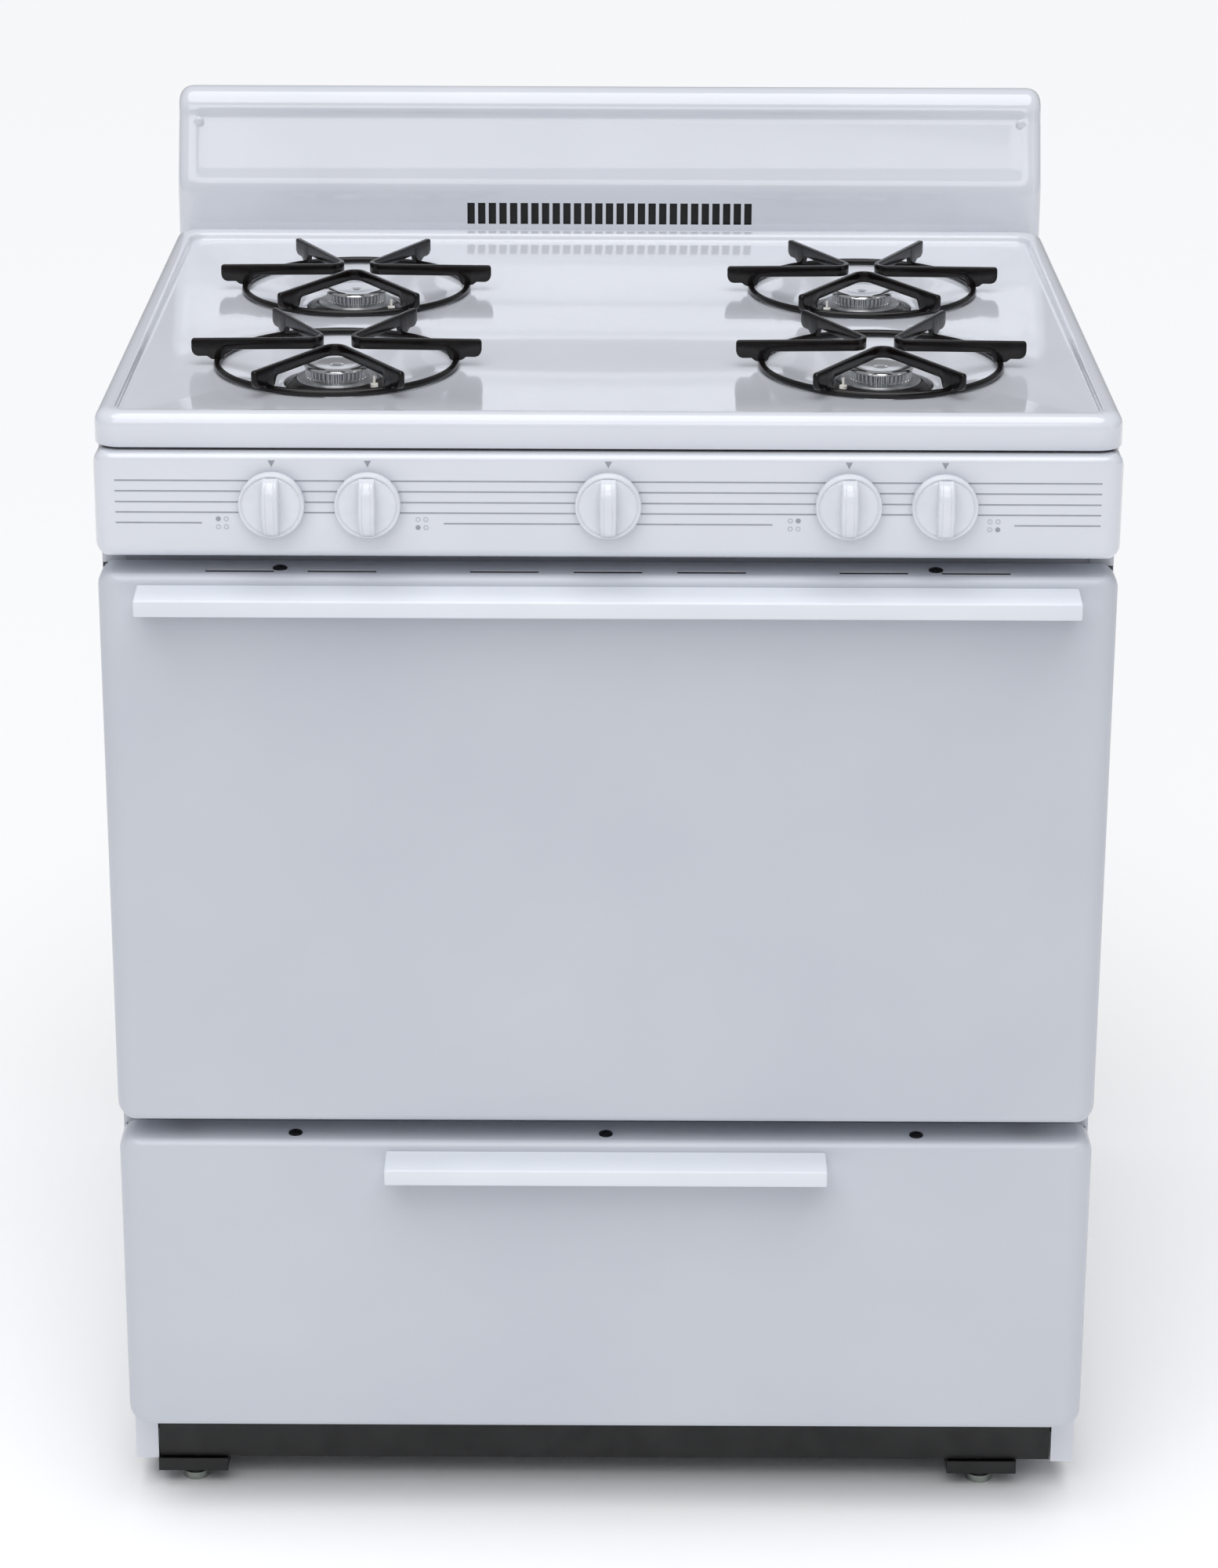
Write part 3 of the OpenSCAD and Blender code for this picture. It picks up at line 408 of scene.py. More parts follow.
materialForSlot = {
    "white_enamel": whiteEnamel, "galvanised_steel": galvanised, "black_paint": blackPaint,
    "zinc_plated_steel": zincPlate, "blackened_screws": blackOxide, "grey_oven_enamel": ovenEnamel,
    "chromed_wire": chromeWire, "cast_iron": castIron, "mineral_wool": mineralWool,
    "glass_fibre_rope": glassRope, "brass": machinedBrass, "cast_aluminium": castAluminium,
    "polished_cap": polishedCap, "electrode_ceramic": ceramic, "black_porcelain": blackPorcelain,
    "stem_steel": turnedSteel, "white_knob_plastic": knobPlastic, "white_handle_enamel": handlePaint}
for entry in frame["record"]["subparts"]:
    node = frame["nodes"][entry["node"]]
    node.data.materials.clear()
    node.data.materials.append(materialForSlot[entry["material_slot"]])


# camera, floor and lights

camera = {"lens": 88.9, "sensor": 36, "shiftX": 0.0033, "shiftY": -0.15, "place": (0.0009, -3.035, 1.694),
          "pitch": -17.91, "roll": -0.197, "yaw": -0.084}
cameraData = bpy.data.cameras.new("camera")
cameraData.lens = camera["lens"]
cameraData.sensor_width = camera["sensor"]
cameraData.shift_x = camera["shiftX"]
cameraData.shift_y = camera["shiftY"]
cameraObject = bpy.data.objects.new("camera", cameraData)
cameraObject.location = camera["place"]
turn = (Matrix.Rotation(math.radians(-camera["yaw"]), 4, "Z")
        @ Matrix.Rotation(math.radians(90 + camera["pitch"]), 4, "X")
        @ Matrix.Rotation(math.radians(-camera["roll"]), 4, "Z"))
cameraObject.rotation_euler = turn.to_euler()
bpy.context.scene.collection.objects.link(cameraObject)
bpy.context.scene.camera = cameraObject

studio = {"floorSize": 14, "floorColour": "#ffffff", "skyColour": "#f7f9ff", "skyStrength": 0.32}
floorMaterial, floorShader, _ = startMaterial("paleFloorPaper", {"Roughness": 0.9})
floorShader.inputs["Base Color"].default_value = toLinear(studio["floorColour"])
half = studio["floorSize"] / 2
corners = [(-half, -half, 0), (half, -half, 0), (half, half, 0), (-half, half, 0)]
floor = makeMesh("floor", corners, [(0, 1, 2, 3)])
floor.data.materials.append(floorMaterial)
world = bpy.data.worlds.new("studio")
world.use_nodes = True
sky = world.node_tree.nodes["Background"]
sky.inputs["Color"].default_value = toLinear(studio["skyColour"])
sky.inputs["Strength"].default_value = studio["skyStrength"]
bpy.context.scene.world = world


def softLight(name, place, target, size, power, colour="#ffffff"):
    lamp = bpy.data.lights.new(name, "AREA")
    lamp.shape = "RECTANGLE"
    lamp.size, lamp.size_y = size
    lamp.energy = power
    lamp.color = toLinear(colour)[:3]
    thing = bpy.data.objects.new(name, lamp)
    thing.location = place
    thing.rotation_euler = (Vector(target) - Vector(place)).to_track_quat("-Z", "Y").to_euler()
    bpy.context.scene.collection.objects.link(thing)


def softSun(name, tilt, turn, spread, strength):
    # broad, even light from overhead, leaning towards the front
    lamp = bpy.data.lights.new(name, "SUN")
    lamp.energy = strength
    lamp.angle = math.radians(spread)
    thing = bpy.data.objects.new(name, lamp)
    thing.rotation_euler = (math.radians(tilt), 0, math.radians(turn))
    bpy.context.scene.collection.objects.link(thing)


softSun("skylight", 14, -8, 60, 2.1)
softLight("frontHigh", (-0.4, -2.1, 2.0), (0, -0.3, 0.85), (2.4, 0.9), 12)
softLight("sideStrip", (2.4, -1.2, 1.3), (0, 0, 0.8), (0.5, 1.8), 2)
bpy.context.scene.view_settings.view_transform = "Standard"
print("camera and studio ready")


# pressed fronts: door, drawer and control panel

def pressedFront(name, node, look):
    # a drawn steel front: wide rolls at the sides, small ones above and below, open at the back
    low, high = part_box(node)
    side, top, bottom = look["side"] * mm, look["top"] * mm, look["bottom"] * mm
    depth = high.y - low.y
    sheet = look["sheet"] * mm
    steps = {0.0, depth}
    for radius in (side, top, bottom):
        steps |= {radius * (1 - math.cos(math.radians(a))) for a in range(0, 91, 10)}
    offsets = []
    for value in sorted(steps):
        if not offsets or value - offsets[-1] > 0.00015:
            offsets.append(value)

    def inset(radius, y):
        return radius - math.sqrt(max(radius ** 2 - max(radius - y, 0) ** 2, 0))

    rings = []
    for y in offsets:
        widening = look["corner"] - look["faceCorner"]
        corner = (look["faceCorner"] + widening * (1 - inset(side, y) / side)) * mm
        outline = roundRect(low.x + inset(side, y), high.x - inset(side, y),
                            low.z + inset(bottom, y), high.z - inset(top, y), corner)
        rings.append([(x, low.y + y, z) for x, z in outline])
    inner = []
    for y in reversed(offsets):
        if y < sheet:
            continue
        corner = max(look["corner"] * mm - sheet, 0.002) * (1 - inset(side, y) / side) + 0.002
        outline = roundRect(low.x + inset(side, y) + sheet, high.x - inset(side, y) - sheet,
                            low.z + inset(bottom, y) + sheet, high.z - inset(top, y) - sheet, corner)
        inner.append([(x, low.y + max(y, sheet * 1.2), z) for x, z in outline])
    return loft(name, rings + inner)


doorLook = {"side": 18, "top": 7, "bottom": 6, "corner": 11, "faceCorner": 3, "sheet": 1.2,
            "ventCentres": (-273.5, -197.5, -77, 0, 77, 197.5, 273.5), "ventLength": 51,
            "ventFront": 10.5, "ventWidth": 6.5, "notchWidth": 19, "notchHeight": 24, "hingeInset": 49.5}
doorLow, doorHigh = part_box("door_outer_panel")
doorSkin = pressedFront("doorSkin", "door_outer_panel", doorLook)
ventBoxes = []
for ventX in doorLook["ventCentres"]:
    x0 = (ventX - doorLook["ventLength"] / 2) * mm
    y0 = doorLow.y + doorLook["ventFront"] * mm
    ventBoxes.append(((x0, y0, doorHigh.z - 0.004),
                      (x0 + doorLook["ventLength"] * mm, y0 + doorLook["ventWidth"] * mm,
                       doorHigh.z + 0.002)))
for side in (-1, 1):
    x0 = side * (doorHigh.x - doorLook["hingeInset"] * mm)
    reach = doorLook["notchWidth"] * mm / 2
    ventBoxes.append(((x0 - reach, doorLow.y + 0.010, doorLow.z - 0.002),
                      (x0 + reach, doorHigh.y + 0.004, doorLow.z + doorLook["notchHeight"] * mm)))
cutWith(doorSkin, boxMesh("doorCuts", ventBoxes))
finishPiece(doorSkin, "oven_door", doorEnamelPaintedShade, ["door_outer_panel"])
# black sheet under the vents: painted shade standing in for the dark inside of the door seen through the
# slots
ventShadeReach = (max(doorLook["ventCentres"]) + doorLook["ventLength"]) * mm
ventShadeY = doorLow.y + (doorLook["ventFront"] - 2) * mm
ventPaintedShade = boxMesh("doorVentPaintedShade", [((-ventShadeReach, ventShadeY, doorHigh.z - 0.0034),
                                       (ventShadeReach, ventShadeY + 0.0095, doorHigh.z - 0.0016))])
paintedEdge = 0.4 * mm
finishPiece(bevelEdges(ventPaintedShade, paintedEdge), "oven_door", blackPaint)

drawerSkin = pressedFront("drawerSkin", "drawer_front", {**doorLook, "corner": 12})
finishPiece(drawerSkin, "broiler_drawer", doorEnamelPaintedShade, ["drawer_front"])

panelLook = {"side": 16, "top": 4, "bottom": 8, "corner": 9, "faceCorner": 3, "sheet": 1.2, "stemHole": 6}
panelSkin = pressedFront("panelSkin", "control_panel", panelLook)
panelLow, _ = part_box("control_panel")
knobCentres = []
for i in range(1, 6):
    low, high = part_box(f"stem_{i}")
    knobCentres.append(((low.x + high.x) / 2, (low.z + high.z) / 2))
holes = [lathe(f"hole{i}", [(panelLook["stemHole"] * mm, -0.004), (panelLook["stemHole"] * mm, 0.006)],
               (x, panelLow.y, z), axis="y", steps=32) for i, (x, z) in enumerate(knobCentres)]
cutWith(panelSkin, joinAll("stemHoles", holes))
finishPiece(panelSkin, "root", whiteEnamel, ["control_panel"])
print("pressed fronts made")


# handles

def lipHandle(name, node, body):
    # folded lip handle: sloping top, upright nose, closed ends, open underneath for the fingers
    low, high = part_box(node)
    look = {"wall": 3.2, "slope": 4.0, "edge": 1.6, "heel": 3.0}
    wall, slope = look["wall"] * mm, look["slope"] * mm

    def prism(label, points, x0, x1):
        return loft(label, [[(x, y, z) for y, z in points] for x in (x0, x1)])

    nose, back, top, foot = low.y, high.y, high.z, low.z
    handle = prism(name, [(back, top), (nose, top - slope), (nose, foot), (back, foot + look["heel"] * mm)],
                   low.x, high.x)
    hollow = prism("hollow", [(back + 0.001, top - wall), (nose + wall, top - slope - wall),
                              (nose + wall, foot - 0.002), (back + 0.001, foot - 0.002)],
                   low.x + wall, high.x - wall)
    cutWith(handle, hollow)
    bevelEdges(handle, look["edge"] * mm, 3)
    return finishPiece(handle, body, handlePaint, [node])


lipHandle("doorHandle", "door_handle", "oven_door")
lipHandle("drawerHandle", "drawer_handle", "broiler_drawer")
print("handles made")


# cooktop

cooktopLook = {"rim": 15, "rearRim": 25, "recess": 6, "roll": 10, "planCorner": 20, "recessCorner": 13,
               "wellRadius": 92, "holeRadius": 42, "wellDip": 13, "sheet": 1.2, "rearLip": 13, "circle": 72}
topLow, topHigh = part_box("cooktop")
burnerCentres = []
for i in range(1, 5):
    low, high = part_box(f"grate_{i}")
    burnerCentres.append(((low.x + high.x) / 2, (low.y + high.y) / 2))


def buildCooktop():
    look = cooktopLook
    rimTop = topHigh.z
    recessZ = rimTop - look["recess"] * mm
    rings = []

    def addRing(side, rear, z, corner):
        outline = roundRect(topLow.x + side * mm, topHigh.x - side * mm,
                            topLow.y + side * mm, topHigh.y - rear * mm, corner * mm, 10)
        rings.append([(x, y, z) for x, y in outline])

    step = look["recess"]
    # up from the recess, over the raised rim
    for along, up in ((3.5, 0.0), (2.4, 0.12), (1.4, 0.5), (0.6, 0.3 * step), (0.0, 0.55 * step),
                      (-0.7, 0.82 * step), (-1.8, 0.97 * step), (-3.2, step)):
        addRing(look["rim"] + along, look["rearRim"] + along, recessZ + up * mm,
                look["recessCorner"] - along)
    roll = look["roll"]
    for x, y in arcPoints(0, 0, roll, 90, 0, 9):
        addRing(roll - x, roll - x, rimTop - (roll - y) * mm, look["planCorner"] - (roll - x) / 2)
    addRing(0, 0, topLow.z + 1.2 * mm, look["planCorner"])
    addRing(0.3, 0.3, topLow.z + 0.3 * mm, look["planCorner"])
    addRing(1.2, 1.2, topLow.z, look["planCorner"] - 1.2)
    count = len(rings[0])
    verts = [p for ring in rings for p in ring]
    faces = [(j * count + i, (j + 1) * count + i,
              (j + 1) * count + (i + 1) % count, j * count + (i + 1) % count)
             for j in range(len(rings) - 1) for i in range(count)]

    # flat recess between its edge and the four wells
    flat = [Vector((p[0], p[1])) for p in rings[0]]
    edges = [(i, (i + 1) % count) for i in range(count)]
    circle = look["circle"]
    for cx, cy in burnerCentres:
        n = len(flat)
        flat += [Vector((cx + look["wellRadius"] * mm * math.cos(2 * math.pi * i / circle),
                         cy + look["wellRadius"] * mm * math.sin(2 * math.pi * i / circle)))
                 for i in range(circle)]
        edges += [(n + i, n + (i + 1) % circle) for i in range(circle)]
    points, _, triangles, *_ = delaunay_2d_cdt(flat, edges, [], 1, 1e-7)
    n = len(verts)
    verts += [(p.x, p.y, recessZ) for p in points]
    for triangle in triangles:
        centre = sum((points[i] for i in triangle), Vector((0, 0))) / 3
        inWell = any((centre - Vector(c)).length < look["wellRadius"] * mm * 0.9985 for c in burnerCentres)
        if not inWell:
            faces.append(tuple(n + i for i in triangle))

    # dished wells with a turned-down edge round each burner hole
    wide = look["wellRadius"] - look["holeRadius"]
    for cx, cy in burnerCentres:
        profile = []
        for i in range(15):
            t = i / 14
            ease = t * t * (3 - 2 * t)
            profile.append((look["wellRadius"] - wide * t, -look["wellDip"] * (0.55 * ease + 0.45 * t)))
        profile += [(look["holeRadius"] - 0.7, -look["wellDip"] - 0.5),
                    (look["holeRadius"] - 0.9, -look["wellDip"] - 3)]
        n = len(verts)
        for radius, z in profile:
            verts += [(cx + radius * mm * math.cos(2 * math.pi * i / circle),
                       cy + radius * mm * math.sin(2 * math.pi * i / circle), recessZ + z * mm)
                      for i in range(circle)]
        faces += [(n + j * circle + i, n + j * circle + (i + 1) % circle,
                   n + (j + 1) * circle + (i + 1) % circle, n + (j + 1) * circle + i)
                  for j in range(len(profile) - 1) for i in range(circle)]
    # the lip is short along the back, clear of the hinge brackets at rest
    keep = topHigh.z - look["rearLip"] * mm
    skin = 0.0025
    verts = [(x, y, max(z, keep)) if y > topHigh.y - skin and abs(x) < topHigh.x - skin else (x, y, z)
             for x, y, z in verts]
    sheet = makeMesh("cooktopSheet", verts, faces)
    highest = max(sheet.data.polygons, key=lambda face: face.center.z)
    return thicken(turnOutward(sheet, highest.index, (0, 0, 1)), look["sheet"] * mm, 40)


cooktopSheet = finishPiece(buildCooktop(), "cooktop_lid", whiteEnamel, ["cooktop"])
print("cooktop made")


# backguard

guardLook = {"band": 38, "lean": 22, "roll": 22, "end": 12, "sheet": 1.2, "slots": 27, "pitch": 9.36,
             "slotWidth": 6.5, "slotLow": 3, "slotHigh": 22, "panelStep": 1.2, "panelEdge": 17.5}
guardLow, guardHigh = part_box("backguard")


def buildBackguard():
    look = guardLook
    rimZ = topHigh.z
    front, back = guardLow.y, guardHigh.y
    crease = rimZ + look["band"] * mm
    leanY, roll = look["lean"] * mm, look["roll"] * mm
    rollZ = guardHigh.z - roll
    path = [(front, guardLow.z, -1, 0)]
    slotLow, slotHigh = rimZ + look["slotLow"] * mm, rimZ + look["slotHigh"] * mm
    for z in (rimZ - 0.002, slotLow, slotHigh, crease - 0.010):
        path.append((front, z, -1, 0))
    tilt = math.atan2(leanY, rollZ - crease)
    for i in range(6):
        a = tilt * i / 5
        path.append((front + 0.010 * (i / 5) ** 2 * math.tan(tilt), crease - 0.010 + 0.020 * i / 5,
                     -math.cos(a), math.sin(a)))
    for i in range(1, 9):
        t = i / 8
        z = crease + 0.010 + (rollZ - crease - 0.010) * t
        path.append((front + (z - crease) * math.tan(tilt), z, -math.cos(tilt), math.sin(tilt)))
    for i in range(1, 13):
        a = math.radians(180 - 90 * i / 12)
        path.append((front + leanY + roll + roll * math.cos(a), rollZ + roll * math.sin(a),
                     math.cos(a), math.sin(a)))
    path.append((back, guardHigh.z - 0.001, 0, 1))
    path.append((back, guardHigh.z - 0.014, 0.7, 0.7))

    slotEdges = []
    for i in range(look["slots"]):
        x = (i - (look["slots"] - 1) / 2) * look["pitch"] * mm
        slotEdges += [x - look["slotWidth"] * mm / 2, x + look["slotWidth"] * mm / 2]
    end = look["end"] * mm
    reach = guardHigh.x
    stations = [-reach + end * (1 - math.cos(math.radians(a))) for a in range(0, 91, 10)]
    stations += [-reach + v for v in (0.0155, 0.0175, 0.0195, 0.030, 0.06, 0.10, 0.15, 0.20)]
    stations += slotEdges + [-v for v in stations]
    stations = sorted(set(round(v, 6) for v in stations))
    rings = []
    for x in stations:
        outside = max(abs(x) - (reach - end), 0)
        drop = end - math.sqrt(max(end ** 2 - outside ** 2, 0))
        # shallow pressed panel on the leaning face, inside a soft step
        sideEase = min(max((reach - abs(x) - 0.0155) / 0.004, 0), 1)
        ring = []
        for y, z, ny, nz in path:
            lowEase = min(max((z - crease - 0.004) / 0.006, 0), 1)
            highEase = min(max((rollZ + 0.006 - z) / 0.006, 0), 1)
            press = look["panelStep"] * mm * sideEase * lowEase * highEase
            sink = drop + press
            ring.append((x, min(y - ny * sink, back), z - nz * sink))
        rings.append(ring)
    count = len(path)
    verts = [p for ring in rings for p in ring]
    faces = []
    for j in range(len(rings) - 1):
        middle = (stations[j] + stations[j + 1]) / 2
        inSlot = any(slotEdges[k] < middle < slotEdges[k + 1] for k in range(0, len(slotEdges), 2))
        for i in range(count - 1):
            z = (path[i][1] + path[i + 1][1]) / 2
            if inSlot and slotLow < z < slotHigh:
                continue
            faces.append((j * count + i, (j + 1) * count + i, (j + 1) * count + i + 1, j * count + i + 1))
    # flat ends, closed back to the rear edge
    for j in (0, len(rings) - 1):
        ring = [(j * count + i) for i in range(count)]
        verts.append((rings[j][0][0], back, guardLow.z))
        faces.append(tuple(ring + [len(verts) - 1]))
    sheet = makeMesh("backguardSheet", verts, faces)
    foremost = min(sheet.data.polygons, key=lambda face: face.center.y)
    thicken(turnOutward(sheet, foremost.index, (0, -1, 0)), look["sheet"] * mm)
    for v in sheet.data.vertices:
        v.co.x = max(-reach, min(reach, v.co.x))
    return sheet


finishPiece(buildBackguard(), "root", whiteEnamel, ["backguard"])
# pressed buttons near the upper corners, over the end brackets' studs
studLook = {"x": 361, "down": 28, "radius": 4.2, "rise": 1.0, "base": 3.5}
studY = guardLow.y + (guardHigh.z - studLook["down"] * mm - topHigh.z - guardLook["band"] * mm) * (
    guardLook["lean"] * mm / (guardHigh.z - guardLook["roll"] * mm - topHigh.z - guardLook["band"] * mm))
studs = []
for side in (-1, 1):
    outline = [(0, -studLook["rise"])]
    outline += [(studLook["radius"] * math.sin(math.radians(a)),
                 -studLook["rise"] * math.cos(math.radians(a)))
                for a in (20, 40, 60, 80)]
    outline += [(studLook["radius"] + 0.3, 0.1), (studLook["radius"] + 0.3, studLook["base"])]
    studs.append(lathe(f"stud{side}", [(r * mm, y * mm) for r, y in outline],
                       (side * studLook["x"] * mm, studY, guardHigh.z - studLook["down"] * mm),
                       axis="y", steps=32))
finishPiece(joinAll("backguardStuds", studs), "root", whiteEnamel)
# black-painted sheet behind the slots: painted shade standing in for the dark inside of the flue
flueShadeReach = guardLook["slots"] * guardLook["pitch"] * mm / 2 + 0.006
flueShadeSheet = boxMesh("fluePaintedShade", [((-flueShadeReach, guardLow.y + 0.0021, topHigh.z + 0.001),
                                 (flueShadeReach, guardLow.y + 0.0033, topHigh.z + 0.027))])
bevelEdges(flueShadeSheet, paintedEdge)
finishPiece(flueShadeSheet, "root", blackPaint)
print("backguard made")


# burners

burnerLook = {"ring": 31, "cap": 25.5, "ports": 40, "collarInner": 31.3, "collarOuter": 40.4}
headLow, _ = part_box("burner_heads")
capLow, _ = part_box("burner_caps")
holeZ = topHigh.z - (cooktopLook["recess"] + cooktopLook["wellDip"]) * mm


def burnerHead(i, cx, cy):
    # die-cast ring with a toothed crown: flame ports between the teeth
    ring, crown = burnerLook["ring"], burnerLook["cap"] - 1
    base = (headLow.z - holeZ) / mm
    low = lathe(f"burnerBase{i}", [(r * mm, z * mm) for r, z in (
        (12, base), (17.6, base), (18, base + 0.6), (18, base + 9), (24, base + 11), (ring - 1.2, -4.6),
        (ring, -3.4), (ring, 3.2), (ring - 0.5, 4.4), (ring - 1.8, 5.0), (crown + 1.8, 5.2),
        (crown + 0.6, 5.4),
        (12, 5.4))], (cx, cy, holeZ))
    ports = burnerLook["ports"]
    rings = []
    capRise = (capLow.z - holeZ) / mm
    for z, tooth in ((5.3, 0.2), (5.9, 1.9), (capRise - 0.5, 1.9), (capRise - 0.1, 1.6)):
        points = []
        for k in range(ports * 4):
            a = 2 * math.pi * (k + 0.5) / (ports * 4)
            radius = (crown - (tooth if k % 4 < 2 else 0)) * mm
            points.append((cx + radius * math.cos(a), cy + radius * math.sin(a), holeZ + z * mm))
        rings.append(points)
    crownMesh = loft(f"burnerCrown{i}", rings, True, True, sharpAngle=25)
    return joinAll(f"burnerHead{i}", [low, crownMesh])


heads = [burnerHead(i + 1, cx, cy) for i, (cx, cy) in enumerate(burnerCentres)]
for i, head in enumerate(heads):
    finishPiece(head, "root", castAluminium, ["burner_heads"] if i == 0 else ())
for i, (cx, cy) in enumerate(burnerCentres):
    r = burnerLook["cap"]
    outline = [(0, 0), (r - 1.2, 0), (r - 0.3, 0.25), (r, 0.9), (r - 0.2, 1.6), (r - 1.1, 2.2),
               (r - 3.0, 2.7),
               (r * 0.55, 2.1), (r * 0.25, 1.5), (3.2, 1.4), (2.4, 1.9), (0, 2.1)]
    cap = lathe(f"burnerCap{i + 1}", [(a * mm, b * mm) for a, b in outline], (cx, cy, capLow.z), steps=96)
    finishPiece(cap, "root", polishedCap, ["burner_caps"] if i == 0 else ())
    # black enamelled collar that fills the hole round the ring
    inner, outer = burnerLook["collarInner"], burnerLook["collarOuter"]
    tray = lathe(f"burnerTray{i + 1}", [(a * mm, b * mm) for a, b in (
        (inner, 3.0), (inner + 1.2, 2.9), (inner + 4, 1.6), (outer - 2.4, -0.6),
        (outer - 0.8, -1.5), (outer, -2.8),
        (outer, -9.0), (outer - 1, -9.0), (outer - 1, -3.2), (outer - 3, -1.7),
        (inner + 3.6, 0.5), (inner, 1.8),
        (inner, 3.0))], (cx, cy, holeZ), steps=72)
    finishPiece(tray, "root", blackPorcelain)
print("burners made")


# knobs

knobLook = {"skirt": 24.5, "out": 25.0, "gripWidth": 13.0, "gripHalf": 21.6, "groove": 0.45}
skirtProfile = ((0, 3.0), (23.6, 3.0), (24.3, 3.4), (24.5, 4.2), (24.3, 10.7), (23.8, 11.5), (22.9, 11.8),
                (22.2, 11.4), (21.7, 10.9), (21.1, 11.3), (20.4, 11.9), (12, 12.3), (0, 12.4))


def gripSection(width, low, high):
    # half outline of the grip: straight flanks, a rounded shoulder and two fine grooves on top
    half = width / 2
    tall = max(high - low, 0.5)
    shoulder = min(2.2, tall * 0.45)
    right = [(half, low), (half - 0.1, low + tall * 0.5)]
    right += [(half - 0.2 - shoulder + shoulder * math.cos(math.radians(a)),
               high - 0.3 - shoulder + shoulder * math.sin(math.radians(a))) for a in (10, 35, 60, 85)]
    dip = knobLook["groove"] * min(tall / 6, 1)
    right += [(half * 0.55, high - 0.1), (half * 0.48, high - dip)]
    right += [(half * 0.40, high), (half * 0.15, high + 0.1)]
    return right + [(-x, y) for x, y in reversed(right)]


def knobPiece(i, cx, cz):
    skirt = lathe(f"knobSkirt{i}", [(r * mm, -out * mm) for r, out in skirtProfile], (cx, panelLow.y, cz),
                  axis="y", steps=80)
    rings = []
    steps = 22
    base = 11.6
    for k in range(steps + 1):
        t = math.sin(math.pi / 2 * (2 * k / steps - 1))
        bulge = max(1 - abs(t) ** 3.4, 0) ** (1 / 2.2)
        out = base + 0.2 + (knobLook["out"] - base - 0.3) * bulge
        width = knobLook["gripWidth"] * (0.86 + 0.14 * max(1 - t * t, 0) ** 0.5)
        rings.append([(cx + x * mm, panelLow.y - y * mm, cz + t * knobLook["gripHalf"] * mm)
                      for x, y in gripSection(width, base - 0.6, out)])
    return joinAll(f"knobShell{i}", [skirt, loft(f"knobGrip{i}", rings, sharpAngle=50)])


for i, (x, z) in enumerate(knobCentres, 1):
    finishPiece(knobPiece(i, x, z), f"knob_{i}_body", knobPlastic, [f"knob_{i}"])
print("knobs made")


# grates

grateLook = {"ring": 92, "wire": 2.75, "tip": 112, "spread": 30, "nose": 15, "bend": 9, "thick": 4,
             "top": 21, "inner": 9, "outer": 14, "edge": 0.9}


def fingerLevels(s, end):
    # bottom and top of a strip at a distance s from the nose, end being its full length
    look = grateLook
    foot = end - (look["tip"] - look["ring"])
    inner, outer = look["top"] - look["inner"], look["top"] - look["outer"]
    points = ((0, inner), (foot - 9, inner), (foot - 7, inner - 1.2), (foot - 4.5, 5),
              (foot - 3, 4.2), (foot + 3, 4.2),
              (foot + 5, 4.7), (foot + 8, outer), (end - 5, outer),
              (end - 2.4, outer + 1.0), (end - 0.8, outer + 3),
              (end, outer + 5.5))
    bottom = points[-1][1]
    for (s0, z0), (s1, z1) in zip(points, points[1:]):
        if s0 <= s <= s1:
            bottom = z0 + (z1 - z0) * (s - s0) / (s1 - s0)
            break
    left = end - s
    top = look["top"] - (2.5 - math.sqrt(max(2.5 ** 2 - (2.5 - left) ** 2, 0)) if left < 2.5 else 0)
    return bottom, top


def fingerStrip(name, cx, cy, baseZ, angle):
    look = grateLook
    spread = math.radians(look["spread"])
    tip = Vector((look["tip"] * math.cos(spread), look["tip"] * math.sin(spread)))
    half = math.atan2(tip.y, tip.x - look["nose"])
    apex = look["nose"] - look["bend"] * (1 / math.sin(half) - 1)
    half = math.atan2(tip.y, tip.x - apex)
    along = Vector((math.cos(half), math.sin(half)))
    start = Vector((apex, 0)) + along * look["bend"] / math.tan(half)
    arcLength = look["bend"] * (math.pi / 2 - half)
    legLength = (tip - start).length
    end = arcLength + legLength
    foot = end - (look["tip"] - look["ring"])
    stations = [arcLength * k / 6 for k in range(7)]
    stations += [foot + d for d in (-9, -8, -7, -4.5, -3, 3, 5, 8)]
    stations += [end - d for d in (5, 2.4, 1.5, 0.8, 0.3, 0)]
    centre = Vector((apex + look["bend"] / math.sin(half), 0))
    rings = []
    for s in [-v for v in reversed(stations[1:])] + stations:
        side = 1 if s >= 0 else -1
        d = abs(s)
        if d <= arcLength:
            a = math.pi - d / look["bend"]
            out = Vector((math.cos(a), math.sin(a)))
            point = centre + out * look["bend"]
        else:
            out = Vector((-along.y, along.x))
            point = start + along * (d - arcLength)
        if side < 0:
            point, out = Vector((point.x, -point.y)), Vector((out.x, -out.y))
        bottom, top = fingerLevels(d, end)
        ease = 0.55 if d == end else (0.9 if end - d < 0.5 else 1.0)
        reach = look["thick"] / 2 * ease
        ring = []
        for u, z in roundRect(-reach, reach, bottom, top, look["edge"], 2):
            flat = point + out * u
            ring.append((flat.x, flat.y, z))
        rings.append(ring)
    strip = loft(name, rings, sharpAngle=40)
    strip.data.transform(Matrix.Scale(mm, 4))
    strip.data.transform(Matrix.Translation((cx, cy, baseZ)) @ Matrix.Rotation(math.radians(angle), 4, "Z"))
    return strip


def ringWire(name, cx, cy, z, radius, wire, steps=96, sides=14):
    verts = []
    for i in range(steps):
        a = 2 * math.pi * i / steps
        for j in range(sides):
            b = 2 * math.pi * j / sides
            reach = (radius + wire * math.cos(b)) * mm
            verts.append((cx + reach * math.cos(a), cy + reach * math.sin(a), z + wire * mm * math.sin(b)))
    faces = [(i * sides + j, ((i + 1) % steps) * sides + j, ((i + 1) % steps) * sides + (j + 1) % sides,
              i * sides + (j + 1) % sides) for i in range(steps) for j in range(sides)]
    return makeMesh(name, verts, faces)


